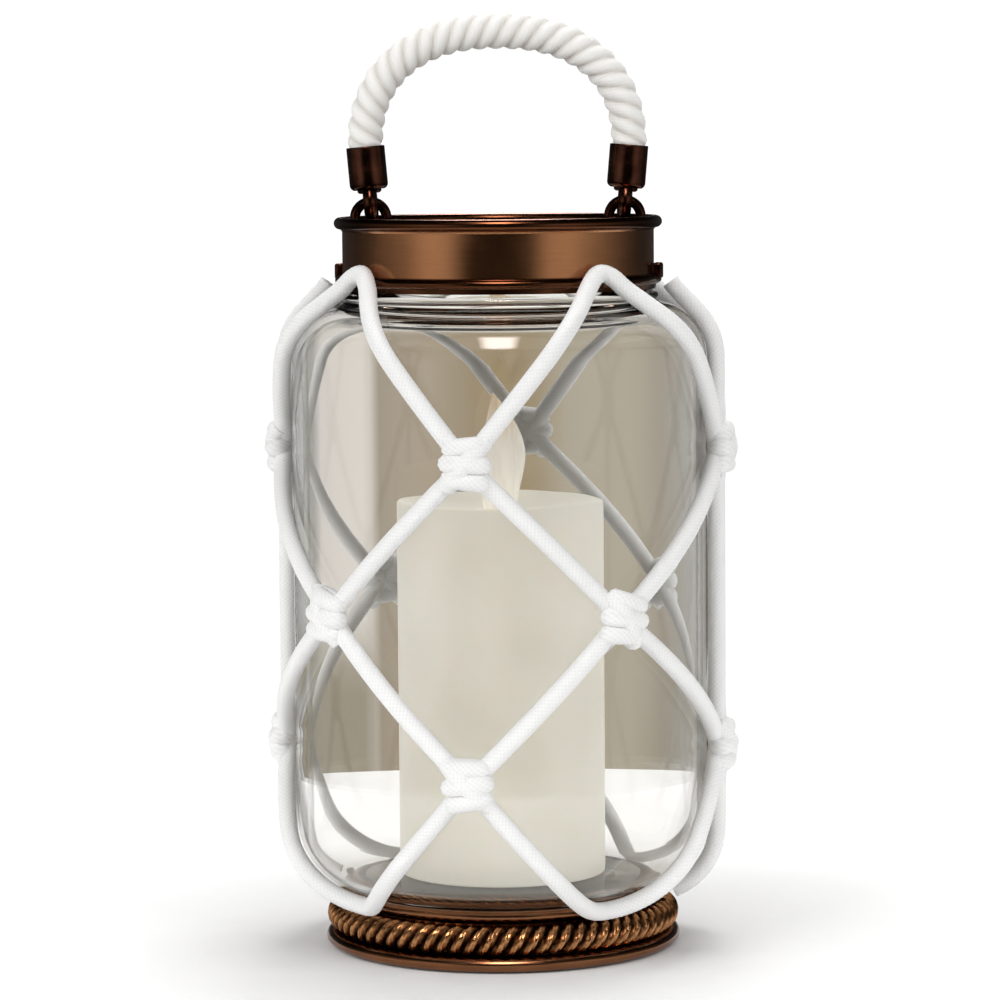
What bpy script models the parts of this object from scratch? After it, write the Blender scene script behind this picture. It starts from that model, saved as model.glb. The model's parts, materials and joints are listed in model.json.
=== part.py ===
"""Jar lantern in a knotted rope net: glass jar, spun bronze collar and base, a rope bail
handle hung on eye bolts, and a battery pillar candle with a flame bulb.

Metres, +Z up. The origin is the middle of the underside and the front faces -Y.
"""

import math

import bmesh
import bpy
from mathutils import Matrix, Vector

MM = 0.001
GAP = 0.3 * MM             # play between two pieces that touch
JOIN = 0.6 * MM            # how far shapes that are united run into each other
MERGE = 0.00001            # merge distance of every modifier that welds
BIG_SIDES = 36             # sides of the large turned pieces
SMALL_SIDES = 16           # sides of the small turned pieces

# Glass jar
JAR_R = 76.0 * MM          # outer radius of the straight wall
JAR_WALL = 4.0 * MM
JAR_FLOOR = 6.8 * MM       # thickness of the floor over the foot
JAR_HEIGHT = 217.6 * MM    # foot to shoulder top
FOOT_R = 52.5 * MM         # foot that seats in the base
FOOT_H = 3.6 * MM
HEEL_R = 22.0 * MM         # outer corner radius at the bottom
SHOULDER_R = 20.0 * MM     # outer corner radius at the top
NECK_R = 55.2 * MM         # outer radius inside the collar
NECK_H = 19.5 * MM         # neck above the shoulder
GLASS_BEAD_PROUD = 3.5 * MM    # bead moulded round the neck under the collar
GLASS_BEAD_H = 3.6 * MM

# Base
FELT_T = 1.2 * MM
FELT_PROUD = 0.5 * MM      # the felt stands this far below the plate
FELT_INSET = 6.0 * MM      # felt edge to plate edge
PLATE_R = 65.2 * MM
PLATE_T = 4.3 * MM
DRUM_WALL = 1.3 * MM       # from the drum's side to the foot
DRUM_ROOF = 2.0 * MM       # metal over the hollow of the drum
HOLLOW_SET = 1.2 * MM      # the hollow ends this far inside the foot
BAND_WIRE_R = 5.4 * MM     # half the thickness of the rope moulding
BAND_RISE = 0.8 * MM       # rope moulding above the plate
BAND_BITE = 0.3 * MM       # clearance of the moulding round the drum
RING_R = 57.0 * MM
RING_H = 4.3 * MM
GASKET_T = 1.3 * MM
GASKET_W = 10.5 * MM       # width of the gasket under the glass

# Collar
COLLAR_WALL = 1.0 * MM
COLLAR_H = 26.5 * MM       # underside of the lower bead to the top of the lip
COLLAR_RISE = 4.7 * MM     # shoulder top to the lower bead
LOWER_BEAD_H = 3.3 * MM
BEAD_PROUD = 3.0 * MM      # both beads stand out of the wall
LIP_H = 5.5 * MM
PLATE_DROP = 8.7 * MM      # top of the lip to the plate with the mouth
MOUTH_SET = 0.1 * MM       # the mouth stands this far outside the eye bolts' inner edge
TOP_PLATE_T = 1.5 * MM

# Eye bolts and handle
EYE_RING_R = 5.75 * MM     # to the middle of the wire
EYE_WIRE_R = 1.85 * MM
EYE_CLEAR = 0.4 * MM       # eye bolt to the lip
EYE_STEM_R = 2.3 * MM
NUT_R = 3.9 * MM
NUT_T = 2.4 * MM
LINK_RING_R = 4.95 * MM
LINK_WIRE_R = 2.5 * MM
FERRULE_R = 7.0 * MM
FERRULE_WALL = 0.9 * MM
FERRULE_NECK_R = 4.85 * MM
FERRULE_FOOT = 3.2 * MM    # hinge axis to the ferrule's underside
FERRULE_TOP = 20.2 * MM    # hinge axis to the ferrule's mouth
FERRULE_SOCKET = 10.0 * MM
FERRULE_LEAN = math.radians(4.9)
ROPE_R = 6.65 * MM
ROPE_RISE = 41.5 * MM      # ferrule mouth to the top of the rope's middle line
ARCH_POWER = 2.3           # 2 is an ellipse, more is squarer

# Net
CORD_R = 3.3 * MM
KNOT_HALF_W = 9.8 * MM
KNOT_HALF_H = 10.8 * MM
KNOT_HALF_D = 5.6 * MM
COLUMN_AZ = (-8.5, 81.5, 171.5, -98.5)    # degrees from the front, + to the right
HOOK_AZ = (37.0, 127.0, -143.0, -54.0)    # tops, each between a column and the next
CROSS_AZ = (32.0, 126.5, -143.5, -49.0)   # middle knots
LOOP_AZ = (34.5, 126.5, -143.5, -51.0)    # bottoms
UPPER_SHARE = 0.297        # knot rows, as shares of the way from tops to bottoms
MIDDLE_SHARE = 0.528
LOWER_SHARE = (0.764, 0.747, 0.747, 0.747)
HOOK_RISE = 7.1 * MM       # middle of a top above the lower bead's underside
LOOP_TURN = math.radians(22.0)   # where on the heel a bottom turns
LEG_STEPS = 8              # stretches of a net leg
BEND = 0.12                # roundness of a top or a bottom
CLIP_W = 6.0 * MM
CLIP_D = 3.2 * MM
CLIP_H = 5.8 * MM
PEG_R = 1.1 * MM
PEG_PROUD = 1.2 * MM       # peg past the lower bead

# Candle
CANDLE_R = 37.9 * MM
CANDLE_H = 138.5 * MM
WAX_WALL = 4.0 * MM
WAX_TOP = 8.0 * MM         # thickness of the wax over the hollow at the rim
DISH = 3.2 * MM
WICK_HOLE_R = 6.2 * MM
FLAME_R = 8.0 * MM
FLAME_TIP = 39.0 * MM      # candle top to the flame's tip
FLAME_ROOT = 6.0 * MM      # depth of the flame's root under the candle top
FLAME_WALL = 0.9 * MM
CANDLE_BASE_T = 4.0 * MM
CANDLE_BASE_LIFT = 1.5 * MM
CORE_WALL = 1.5 * MM
CELL_R = 7.1 * MM
CELL_H = 50.0 * MM
CONTACT_T = 0.6 * MM
BOARD_T = 1.6 * MM
LED_R = 2.4 * MM
DOOR_T = 1.6 * MM
DOOR_END = 5.5 * MM        # door past the cell space at each end
SCREW_R = 1.5 * MM
SCREW_HEAD_R = 2.8 * MM
SWITCH_Y = 24.0 * MM
SWITCH_W = 5.0 * MM
SWITCH_D = 3.2 * MM
SWITCH_TRAVEL = 3.0 * MM

# Heights that follow from the sizes above
PLATE_Z = FELT_PROUD
PLATE_TOP = PLATE_Z + PLATE_T
BAND_Z = PLATE_TOP + BAND_RISE + BAND_WIRE_R
DRUM_TOP = BAND_Z + BAND_WIRE_R
RING_Z = DRUM_TOP + GAP
RING_TOP = RING_Z + RING_H
DRUM_R = FOOT_R + DRUM_WALL
BAND_R = DRUM_R + BAND_BITE + BAND_WIRE_R
FOOT_Z = DRUM_TOP + GAP + GASKET_T + GAP
HEEL_Z = FOOT_Z + FOOT_H
FLOOR_Z = FOOT_Z + JAR_FLOOR
SHOULDER_TOP = FOOT_Z + JAR_HEIGHT
SHOULDER_Z = SHOULDER_TOP - SHOULDER_R
NECK_TOP = SHOULDER_TOP + NECK_H
GLASS_BEAD_R = NECK_R + GLASS_BEAD_PROUD
COLLAR_R = NECK_R + GAP + COLLAR_WALL + GAP
COLLAR_Z = SHOULDER_TOP + COLLAR_RISE
LIP_TOP = COLLAR_Z + COLLAR_H
LIP_IN_R = COLLAR_R + BEAD_PROUD - LIP_H
EYE_X = LIP_IN_R - EYE_CLEAR - EYE_RING_R - EYE_WIRE_R
MOUTH_R = EYE_X - EYE_RING_R - EYE_WIRE_R + MOUTH_SET
TOP_PLATE_Z = max(LIP_TOP - PLATE_DROP - TOP_PLATE_T, NECK_TOP + GASKET_T + 2 * GAP)
TOP_PLATE_TOP = TOP_PLATE_Z + TOP_PLATE_T
EYE_Z = TOP_PLATE_TOP + GAP + EYE_RING_R + EYE_WIRE_R
HINGE_Z = EYE_Z + EYE_RING_R
CANDLE_Z = FLOOR_Z + GAP
CANDLE_TOP = CANDLE_Z + CANDLE_H
ROPE_FOOT_X = EYE_X + math.sin(FERRULE_LEAN) * FERRULE_TOP
ROPE_FOOT_Z = HINGE_Z + math.cos(FERRULE_LEAN) * FERRULE_TOP


def empty_the_file():
    """Removes what Blender starts with."""
    for thing in list(bpy.data.objects):
        bpy.data.objects.remove(thing, do_unlink=True)


empty_the_file()
PARTS = bpy.data.collections.new("jar_lantern")
CUTTERS = bpy.data.collections.new("cutters")
bpy.context.scene.collection.children.link(PARTS)
bpy.context.scene.collection.children.link(CUTTERS)


def material(name, colour, metallic=0.0, roughness=0.5):
    """A Principled material of one finish."""
    made = bpy.data.materials.new(name)
    made.use_nodes = True
    shader = made.node_tree.nodes["Principled BSDF"]
    shader.inputs["Base Color"].default_value = (*colour, 1.0)
    shader.inputs["Metallic"].default_value = metallic
    shader.inputs["Roughness"].default_value = roughness
    return made


def bronze(name):
    return material(name, (0.19, 0.10, 0.055), 1.0, 0.32)


def dark_bronze(name):
    return material(name, (0.045, 0.022, 0.014), 1.0, 0.25)


def white_cord(name):
    return material(name, (0.86, 0.85, 0.82), 0.0, 0.85)


def place(name, mesh, finish):
    """An object of the mesh, among the parts."""
    thing = bpy.data.objects.new(name, mesh)
    mesh.materials.append(finish)
    PARTS.objects.link(thing)
    return thing


def hide(thing):
    """Makes an object a cutter or an operand that the model leaves out."""
    for home in list(thing.users_collection):
        home.objects.unlink(thing)
    CUTTERS.objects.link(thing)
    thing.hide_render = True
    thing.display_type = "WIRE"
    return thing


def mesh_from(bm, name):
    mesh = bpy.data.meshes.new(name)
    bm.to_mesh(mesh)
    bm.free()
    return mesh


def smooth(thing):
    """Shades round pieces smooth and keeps their edges."""
    thing.data.shade_smooth()
    thing.data.set_sharp_from_angle(angle=math.radians(35))


def turned(name, profile, finish, sides=BIG_SIDES, ring=False):
    """A profile of (radius, height) turned about Z. It runs down the outer side; a ring's
    profile closes on itself, and any other starts and ends on the axis."""
    bm = bmesh.new()
    corners = [bm.verts.new((radius, 0.0, height)) for radius, height in profile]
    for first, second in zip(corners, corners[1:]):
        bm.edges.new((first, second))
    if ring:
        bm.edges.new((corners[-1], corners[0]))
    thing = place(name, mesh_from(bm, name), finish)
    screw = thing.modifiers.new("turn", "SCREW")
    screw.axis = "Z"
    screw.steps = sides
    screw.render_steps = sides
    screw.use_merge_vertices = True
    screw.merge_threshold = MERGE
    screw.use_smooth_shade = True
    return thing


def cylinder(name, radius, low, high, finish, sides=SMALL_SIDES, centre=(0.0, 0.0)):
    """An upright cylinder between two heights."""
    bm = bmesh.new()
    bmesh.ops.create_cone(bm, cap_ends=True, segments=sides, radius1=radius, radius2=radius,
                          depth=high - low)
    thing = place(name, mesh_from(bm, name), finish)
    thing.location = (centre[0], centre[1], (low + high) / 2)
    smooth(thing)
    return thing


def box(name, low, high, finish, round_edges=0.0):
    """A box between two corners, its upright edges rounded when a radius is given."""
    bm = bmesh.new()
    bmesh.ops.create_cube(bm, size=1.0)
    size = [top - bottom for bottom, top in zip(low, high)]
    bmesh.ops.scale(bm, vec=size, verts=bm.verts)
    if round_edges:
        upright = [edge for edge in bm.edges if abs(edge.verts[0].co.z - edge.verts[1].co.z) > MERGE]
        bmesh.ops.bevel(bm, geom=upright, offset=round_edges, segments=3, affect="EDGES")
    thing = place(name, mesh_from(bm, name), finish)
    thing.location = [(top + bottom) / 2 for bottom, top in zip(low, high)]
    return thing


def tube(name, points, radius, finish, resolution=2, widths=None):
    """A round bar along the points, with closed ends. Widths scale its radius at each point."""
    curve = bpy.data.curves.new(name, "CURVE")
    curve.dimensions = "3D"
    curve.bevel_depth = radius
    curve.bevel_resolution = resolution
    curve.use_fill_caps = True
    spline = curve.splines.new("POLY")
    spline.points.add(len(points) - 1)
    for number, (dot, point) in enumerate(zip(spline.points, points)):
        dot.co = (*point, 1.0)
        dot.radius = widths[number] if widths else 1.0
    curve.materials.append(finish)
    thing = bpy.data.objects.new(name, curve)
    PARTS.objects.link(thing)
    return thing


def as_mesh(thing):
    """The mesh of a curve object, its caps welded, in place of the curve."""
    bpy.context.view_layer.update()
    ready = thing.evaluated_get(bpy.context.evaluated_depsgraph_get())
    mesh = bpy.data.meshes.new_from_object(ready)
    bm = bmesh.new()
    bm.from_mesh(mesh)
    bmesh.ops.remove_doubles(bm, verts=bm.verts, dist=MERGE)
    bm.to_mesh(mesh)
    bm.free()
    made = bpy.data.objects.new(thing.name + "_mesh", mesh)
    made.matrix_world = thing.matrix_world.copy()
    PARTS.objects.link(made)
    name = thing.name
    bpy.data.objects.remove(thing, do_unlink=True)
    made.name = name
    return made


def ring_bar(name, centre, ring_radius, wire_radius, turn, finish):
    """A closed ring of wire, lying flat until it is turned."""
    bpy.ops.mesh.primitive_torus_add(major_segments=20, minor_segments=8,
                                     major_radius=ring_radius, minor_radius=wire_radius)
    thing = bpy.context.active_object
    thing.name = name
    thing.data.materials.append(finish)
    for home in list(thing.users_collection):
        home.objects.unlink(thing)
    PARTS.objects.link(thing)
    thing.matrix_world = Matrix.Translation(centre) @ turn
    smooth(thing)
    return thing


def combine(body, tool, how):
    """Joins or cuts the body with the tool, which is then hidden."""
    modifier = body.modifiers.new(how.lower(), "BOOLEAN")
    modifier.operation = how
    modifier.solver = "EXACT"
    modifier.object = hide(tool)
    return body


def arc(centre_r, centre_z, radius, start, end, steps):
    """Points on an arc in the turning plane; angles in degrees from level, up positive."""
    points = []
    for step in range(steps + 1):
        angle = math.radians(start + (end - start) * step / steps)
        points.append((centre_r + radius * math.cos(angle), centre_z + radius * math.sin(angle)))
    return points


def around(azimuth, radius, height):
    """A point by its bearing from the front, in degrees, its radius and its height."""
    bearing = math.radians(azimuth)
    return Vector((radius * math.sin(bearing), -radius * math.cos(bearing), height))


def shoulder_end(radius, centre_r, reach):
    """Degrees of the shoulder's arc, which stops early when it meets the neck."""
    if centre_r >= reach:
        return 90.0
    return math.degrees(math.acos(min(1.0, (reach - centre_r) / radius)))


# ---------------------------------------------------------------- base and jar
def make_base():
    """Felt, stepped plate, rope moulding, ring and gasket, from the table up."""
    metal = bronze("base_bronze")
    felt_r = PLATE_R - FELT_INSET
    felt_top = FELT_T
    cylinder("felt_pad", felt_r - GAP, 0.0, felt_top, material("felt", (0.02, 0.02, 0.02), 0, 0.95),
             BIG_SIDES)
    edge = PLATE_T / 2
    plate = [(0.0, DRUM_TOP), (DRUM_R, DRUM_TOP), (DRUM_R, PLATE_TOP)]
    plate += [(PLATE_R - edge + edge * math.cos(math.radians(angle)),
               PLATE_Z + edge + edge * math.sin(math.radians(angle))) for angle in (90, 45, 0, -45, -90)]
    hollow_r = FOOT_R - HOLLOW_SET
    plate += [(felt_r, PLATE_Z), (felt_r, felt_top + GAP), (hollow_r, felt_top + GAP),
              (hollow_r, DRUM_TOP - DRUM_ROOF), (0.0, DRUM_TOP - DRUM_ROOF)]
    turned("base_plate", plate, metal)
    turned("rope_band", arc(BAND_R, BAND_Z, BAND_WIRE_R, 90, -225, 7), bronze("rope_moulding"), ring=True)
    inner = FOOT_R + GAP
    chamfer = RING_H / 3
    ring = [(inner, RING_TOP), (RING_R - chamfer, RING_TOP), (RING_R, RING_TOP - chamfer),
            (RING_R, RING_Z + chamfer), (RING_R - chamfer, RING_Z), (inner, RING_Z)]
    turned("base_ring", ring, bronze("ring_bronze"), ring=True)
    seat = DRUM_TOP + GAP
    gasket_in = FOOT_R - GASKET_W
    gasket = [(gasket_in, seat + GASKET_T), (FOOT_R, seat + GASKET_T), (FOOT_R, seat), (gasket_in, seat)]
    turned("base_gasket", gasket, material("rubber", (0.03, 0.03, 0.03), 0, 0.8), ring=True)


def make_jar():
    """Open jar with a foot, a round heel and shoulder, and a neck with a bead."""
    outer_centre = JAR_R - SHOULDER_R
    heel_centre = JAR_R - HEEL_R
    turn = shoulder_end(SHOULDER_R, outer_centre, GLASS_BEAD_R)
    step_z = SHOULDER_Z + SHOULDER_R * math.sin(math.radians(turn))
    bead_z = step_z + GLASS_BEAD_H
    neck_inner = NECK_R - JAR_WALL
    outer = [(neck_inner, NECK_TOP), (NECK_R, NECK_TOP), (NECK_R, bead_z), (GLASS_BEAD_R - 0.8 * MM, bead_z),
             (GLASS_BEAD_R, bead_z - 0.8 * MM), (GLASS_BEAD_R, step_z + 0.8 * MM)]
    outer += arc(outer_centre, SHOULDER_Z, SHOULDER_R, turn, 0, 5)
    outer += arc(heel_centre, HEEL_Z + HEEL_R, HEEL_R, 0, -90, 6)
    outer += [(FOOT_R, HEEL_Z), (FOOT_R, FOOT_Z), (0.0, FOOT_Z)]
    inner_heel = HEEL_R - JAR_WALL
    inner_shoulder = SHOULDER_R - JAR_WALL
    inner_turn = shoulder_end(inner_shoulder, outer_centre, neck_inner)
    inner = [(0.0, FLOOR_Z)]
    inner += arc(heel_centre, FLOOR_Z + inner_heel, inner_heel, -90, 0, 4)
    inner += arc(outer_centre, SHOULDER_Z, inner_shoulder, 0, inner_turn, 4)
    if outer_centre > neck_inner:
        inner.append((neck_inner, SHOULDER_Z + inner_shoulder))
    turned("glass_jar", without_doubles(inner + outer), material("glass", (0.75, 0.78, 0.76), 0.0, 0.05))


def without_doubles(line):
    """The line with each point that repeats the one before it left out."""
    kept = [line[0]]
    for point in line[1:]:
        if math.dist(point, kept[-1]) > MERGE:
            kept.append(point)
    return kept


# ---------------------------------------------------------------- collar and eye bolts
def make_collar():
    """Spun collar with a rolled lip and four cord pegs, its mouth plate and neck gasket."""
    inner = COLLAR_R - COLLAR_WALL
    bead_r = LOWER_BEAD_H / 2
    lip_r = LIP_H / 2
    lip_z = LIP_TOP - lip_r
    lip_centre = COLLAR_R + BEAD_PROUD - lip_r
    step_z = lip_z - lip_r - 0.6 * MM
    profile = arc(lip_centre, lip_z, lip_r, 180, -70, 7)
    profile += [(COLLAR_R + 0.5 * MM, step_z), (COLLAR_R, step_z - 0.9 * MM)]
    profile += [(COLLAR_R, COLLAR_Z + LOWER_BEAD_H)]
    profile += arc(COLLAR_R + BEAD_PROUD - bead_r, COLLAR_Z + bead_r, bead_r, 70, -90, 4)
    profile += [(inner, COLLAR_Z), (inner, step_z)]
    collar = turned("collar", profile, bronze("collar_bronze"), ring=True)
    peg_z = COLLAR_Z + HOOK_RISE - CORD_R - 2 * GAP - PEG_R
    peg_end = COLLAR_R + BEAD_PROUD + PEG_PROUD
    for number, azimuth in enumerate(HOOK_AZ):
        points = [around(azimuth, COLLAR_R - JOIN, peg_z), around(azimuth, peg_end, peg_z)]
        peg = as_mesh(tube(f"peg_{number}", points, PEG_R, dark_bronze(f"peg_{number}")))
        combine(collar, peg, "UNION")
    plate_r = inner - GAP
    mouth = [(MOUTH_R, TOP_PLATE_TOP), (plate_r, TOP_PLATE_TOP), (plate_r, TOP_PLATE_Z), (MOUTH_R, TOP_PLATE_Z)]
    plate = turned("mouth_plate", mouth, dark_bronze("mouth_bronze"), ring=True)
    for side in (-1, 1):
        hole = cylinder(f"eye_hole_{side}", EYE_STEM_R + GAP, TOP_PLATE_Z - 5 * MM, TOP_PLATE_TOP + 5 * MM,
                        plate.data.materials[0], centre=(side * EYE_X, 0.0))
        combine(plate, hole, "DIFFERENCE")
    low = NECK_TOP + GAP
    high = min(low + GASKET_T, TOP_PLATE_Z - GAP)
    gasket = [(NECK_R - JAR_WALL, high), (NECK_R, high), (NECK_R, low), (NECK_R - JAR_WALL, low)]
    turned("neck_gasket", gasket, material("neck_rubber", (0.05, 0.05, 0.05), 0, 0.8), ring=True)


def make_eye_bolt(side, word):
    """Eye bolt through the mouth plate, with its nut below."""
    finish = dark_bronze(f"{word}_eye_bronze")
    turn = Matrix.Rotation(math.radians(90), 4, "X")
    nut_top = TOP_PLATE_Z - GAP
    stem_low = nut_top - NUT_T - JOIN
    bolt = ring_bar(f"{word}_eye_bolt", (side * EYE_X, 0.0, EYE_Z), EYE_RING_R, EYE_WIRE_R, turn, finish)
    stem = cylinder(f"{word}_stem", EYE_STEM_R, stem_low, EYE_Z - EYE_RING_R, finish,
                    centre=(side * EYE_X, 0.0))
    combine(bolt, stem, "UNION")
    nut = cylinder(f"{word}_eye_nut", NUT_R, nut_top - NUT_T, nut_top, dark_bronze(f"{word}_nut_bronze"),
                   sides=6, centre=(side * EYE_X, 0.0))
    nut.rotation_euler.z = math.radians(30)
    bore = cylinder(f"{word}_nut_bore", EYE_STEM_R + GAP, nut_top - 3 * NUT_T, nut_top + NUT_T, finish,
                    centre=(side * EYE_X, 0.0))
    combine(nut, bore, "DIFFERENCE")


# ---------------------------------------------------------------- handle
def make_ferrule(side, word):
    """Ferrule with a rope socket, a round foot and the link that hangs in the eye bolt."""
    finish = dark_bronze(f"{word}_ferrule_bronze")
    socket_z = FERRULE_TOP - FERRULE_SOCKET
    inner = FERRULE_R - FERRULE_WALL
    round_r = FERRULE_R - FERRULE_NECK_R
    low_z = FERRULE_FOOT + round_r
    profile = [(0.0, socket_z), (inner, socket_z), (inner, FERRULE_TOP), (FERRULE_R, FERRULE_TOP)]
    profile += [(FERRULE_R, low_z)]
    profile += [(FERRULE_NECK_R + round_r * math.cos(angle), low_z - round_r * math.sin(angle))
                for angle in (math.radians(45), math.radians(90))]
    profile += [(0.0, FERRULE_FOOT)]
    ferrule = turned(f"{word}_ferrule", profile, finish, sides=20)
    place_at = Matrix.Translation((side * EYE_X, 0.0, HINGE_Z)) @ Matrix.Rotation(side * FERRULE_LEAN, 4, "Y")
    ferrule.matrix_world = place_at
    link = ring_bar(f"{word}_link", (side * EYE_X, 0.0, HINGE_Z), LINK_RING_R, LINK_WIRE_R,
                    Matrix.Rotation(math.radians(90) + side * FERRULE_LEAN, 4, "Y"), finish)
    combine(ferrule, link, "UNION")


def rope_arch(steps):
    """Middle line of the rope between the ferrules' mouths, a squared arch."""
    points = []
    for step in range(steps + 1):
        angle = math.pi * step / steps
        across = math.copysign(abs(math.cos(angle)) ** (2 / ARCH_POWER), -math.cos(angle))
        rise = abs(math.sin(angle)) ** (2 / ARCH_POWER)
        points.append(Vector((ROPE_FOOT_X * across, 0.0, ROPE_FOOT_Z + ROPE_RISE * rise)))
    return points


def make_handle():
    """Rope arch with its ends thinned into both sockets."""
    tuck = FERRULE_SOCKET - GAP
    lean = Vector((math.sin(FERRULE_LEAN), 0.0, math.cos(FERRULE_LEAN)))
    thin = (FERRULE_R - FERRULE_WALL - GAP) / ROPE_R
    arch = rope_arch(24)
    ends = []
    for side in (-1, 1):
        mouth = Vector((side * ROPE_FOOT_X, 0.0, ROPE_FOOT_Z))
        down = Vector((-side * lean.x, 0.0, -lean.z))
        ends.append([mouth + down * tuck, mouth - down * 0.2 * MM, mouth - down * 0.9 * MM])
    middle = [point for point in arch if point.z > ROPE_FOOT_Z + 2 * MM]
    points = ends[0] + middle + list(reversed(ends[1]))
    widths = [thin * 0.97, thin * 0.97, 1.0] + [1.0] * len(middle) + [1.0, thin * 0.97, thin * 0.97]
    tube("handle_rope", points, ROPE_R, white_cord("handle_white"), resolution=3, widths=widths)


# ---------------------------------------------------------------- net
def rest_line():
    """Where a cord's middle lies on the jar from the heel to the collar, as (radius, height)."""
    off = GAP + CORD_R
    heel = arc(JAR_R - HEEL_R, HEEL_Z + HEEL_R, HEEL_R + off, math.degrees(LOOP_TURN) - 90, 0, 8)
    bead = (COLLAR_R + BEAD_PROUD + off, COLLAR_Z + LOWER_BEAD_H / 2)
    centre = (JAR_R - SHOULDER_R, SHOULDER_Z)
    reach = math.dist(bead, centre)
    bearing = math.degrees(math.atan2(bead[1] - centre[1], bead[0] - centre[0]))
    leave = bearing - math.degrees(math.acos(min(1.0, (SHOULDER_R + off) / reach)))
    shoulder = arc(*centre, SHOULDER_R + off, 0, leave, 6)
    wall = (COLLAR_R + off, COLLAR_Z + HOOK_RISE)
    over = [bead, ((bead[0] + wall[0]) / 2 + 0.45 * MM, (bead[1] + wall[1]) / 2 + 0.2 * MM), wall]
    return heel + shoulder + over


REST = rest_line()
REST_AT = [0.0]
for before, after in zip(REST, REST[1:]):
    REST_AT.append(REST_AT[-1] + math.dist(before, after))
REST_LENGTH = REST_AT[-1]


def rest_point(azimuth, drop):
    """A point on the jar at a distance below the tops, measured down its side."""
    want = REST_LENGTH - drop
    for number in range(len(REST) - 1):
        if want <= REST_AT[number + 1] or number == len(REST) - 2:
            share = (want - REST_AT[number]) / (REST_AT[number + 1] - REST_AT[number])
            radius = REST[number][0] + share * (REST[number + 1][0] - REST[number][0])
            height = REST[number][1] + share * (REST[number + 1][1] - REST[number][1])
            return around(azimuth, radius, height)
    raise ValueError("no such place on the jar")


def knot_drop(row, column):
    shares = {"upper": UPPER_SHARE, "middle": MIDDLE_SHARE, "lower": LOWER_SHARE[column]}
    return REST_LENGTH * shares[row]


def make_knot(name, azimuth, drop, legs):
    """A round knot on the jar, united with the cords that leave it downwards."""
    finish = white_cord(name + "_white")
    bm = bmesh.new()
    bmesh.ops.create_uvsphere(bm, u_segments=12, v_segments=8, radius=1.0)
    bmesh.ops.scale(bm, vec=(KNOT_HALF_W, KNOT_HALF_D, KNOT_HALF_H), verts=bm.verts)
    knot = place(name, mesh_from(bm, name), finish)
    spot = rest_point(azimuth, drop)
    outward = Vector((spot.x, spot.y, 0.0)).normalized()
    knot.location = spot + outward * (KNOT_HALF_D - CORD_R)
    knot.rotation_euler.z = math.radians(azimuth)
    smooth(knot)
    for number, points in enumerate(legs):
        combine(knot, as_mesh(tube(f"{name}_leg_{number}", points, CORD_R, finish)), "UNION")
    return knot


def trim(points, start, end):
    """A line of points shortened by a length at each end."""
    for cut in (start, end):
        left = cut
        while left > 0.0 and len(points) > 2 and (points[1] - points[0]).length <= left:
            left -= (points[1] - points[0]).length
            points = points[1:]
        if left > 0.0:
            points = [points[0] + (points[1] - points[0]).normalized() * left] + points[1:]
        points = list(reversed(points))
    return points


def leg(start_az, start_drop, end_az, end_drop, start_trim, end_trim):
    """A straight pull of cord over the jar between two places."""
    turn = (end_az - start_az + 180.0) % 360.0 - 180.0
    points = []
    for step in range(LEG_STEPS + 1):
        share = step / LEG_STEPS
        points.append(rest_point(start_az + turn * share, start_drop + (end_drop - start_drop) * share))
    return trim(points, start_trim, end_trim)


def loop(apex_az, apex_drop, left_az, right_az, left_drop, right_drop, end_trim):
    """A cord from one knot round an apex to the next knot."""
    points = []
    full = math.sqrt(1.0 + BEND ** 2) - BEND
    for step in range(-LEG_STEPS - 2, LEG_STEPS + 3):
        share = step / (LEG_STEPS + 2)
        far_az, far_drop = (left_az, left_drop) if share < 0 else (right_az, right_drop)
        turn = (far_az - apex_az + 180.0) % 360.0 - 180.0
        fall = (math.sqrt(share ** 2 + BEND ** 2) - BEND) / full
        points.append(rest_point(apex_az + turn * abs(share), apex_drop + (far_drop - apex_drop) * fall))
    return trim(points, end_trim, end_trim)


KNOT_CLEAR = max(KNOT_HALF_W, KNOT_HALF_H) + 2 * GAP


def make_net():
    """Four columns of knots with the cords between them, and a straight cord at each side."""
    for column in range(4):
        following = (column + 1) % 4
        before = (column - 1) % 4
        number = column + 1
        upper = knot_drop("upper", column)
        middle = knot_drop("middle", column)
        lower = knot_drop("lower", column)
        here = COLUMN_AZ[column]
        tube(f"net_top_loop_{number}",
             loop(HOOK_AZ[column], 0.0, here, COLUMN_AZ[following], upper, knot_drop("upper", following),
                  KNOT_CLEAR), CORD_R, white_cord(f"top_loop_{number}_white"))
        legs = [leg(here, upper, CROSS_AZ[side], middle, 0.0, KNOT_CLEAR) for side in (before, column)]
        make_knot(f"net_upper_knot_{number}", here, upper, legs)
        legs = [leg(CROSS_AZ[column], middle, COLUMN_AZ[side], knot_drop("lower", side), 0.0, KNOT_CLEAR)
                for side in (column, following)]
        make_knot(f"net_middle_knot_{number}", CROSS_AZ[column], middle, legs)
        make_knot(f"net_lower_knot_{number}", here, lower, [])
        tube(f"net_bottom_loop_{number}",
             loop(LOOP_AZ[column], REST_LENGTH, here, COLUMN_AZ[following], lower,
                  knot_drop("lower", following), KNOT_CLEAR), CORD_R, white_cord(f"bottom_loop_{number}_white"))
    for column, word in ((1, "right"), (3, "left")):
        make_side_cord(column, word)


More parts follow.
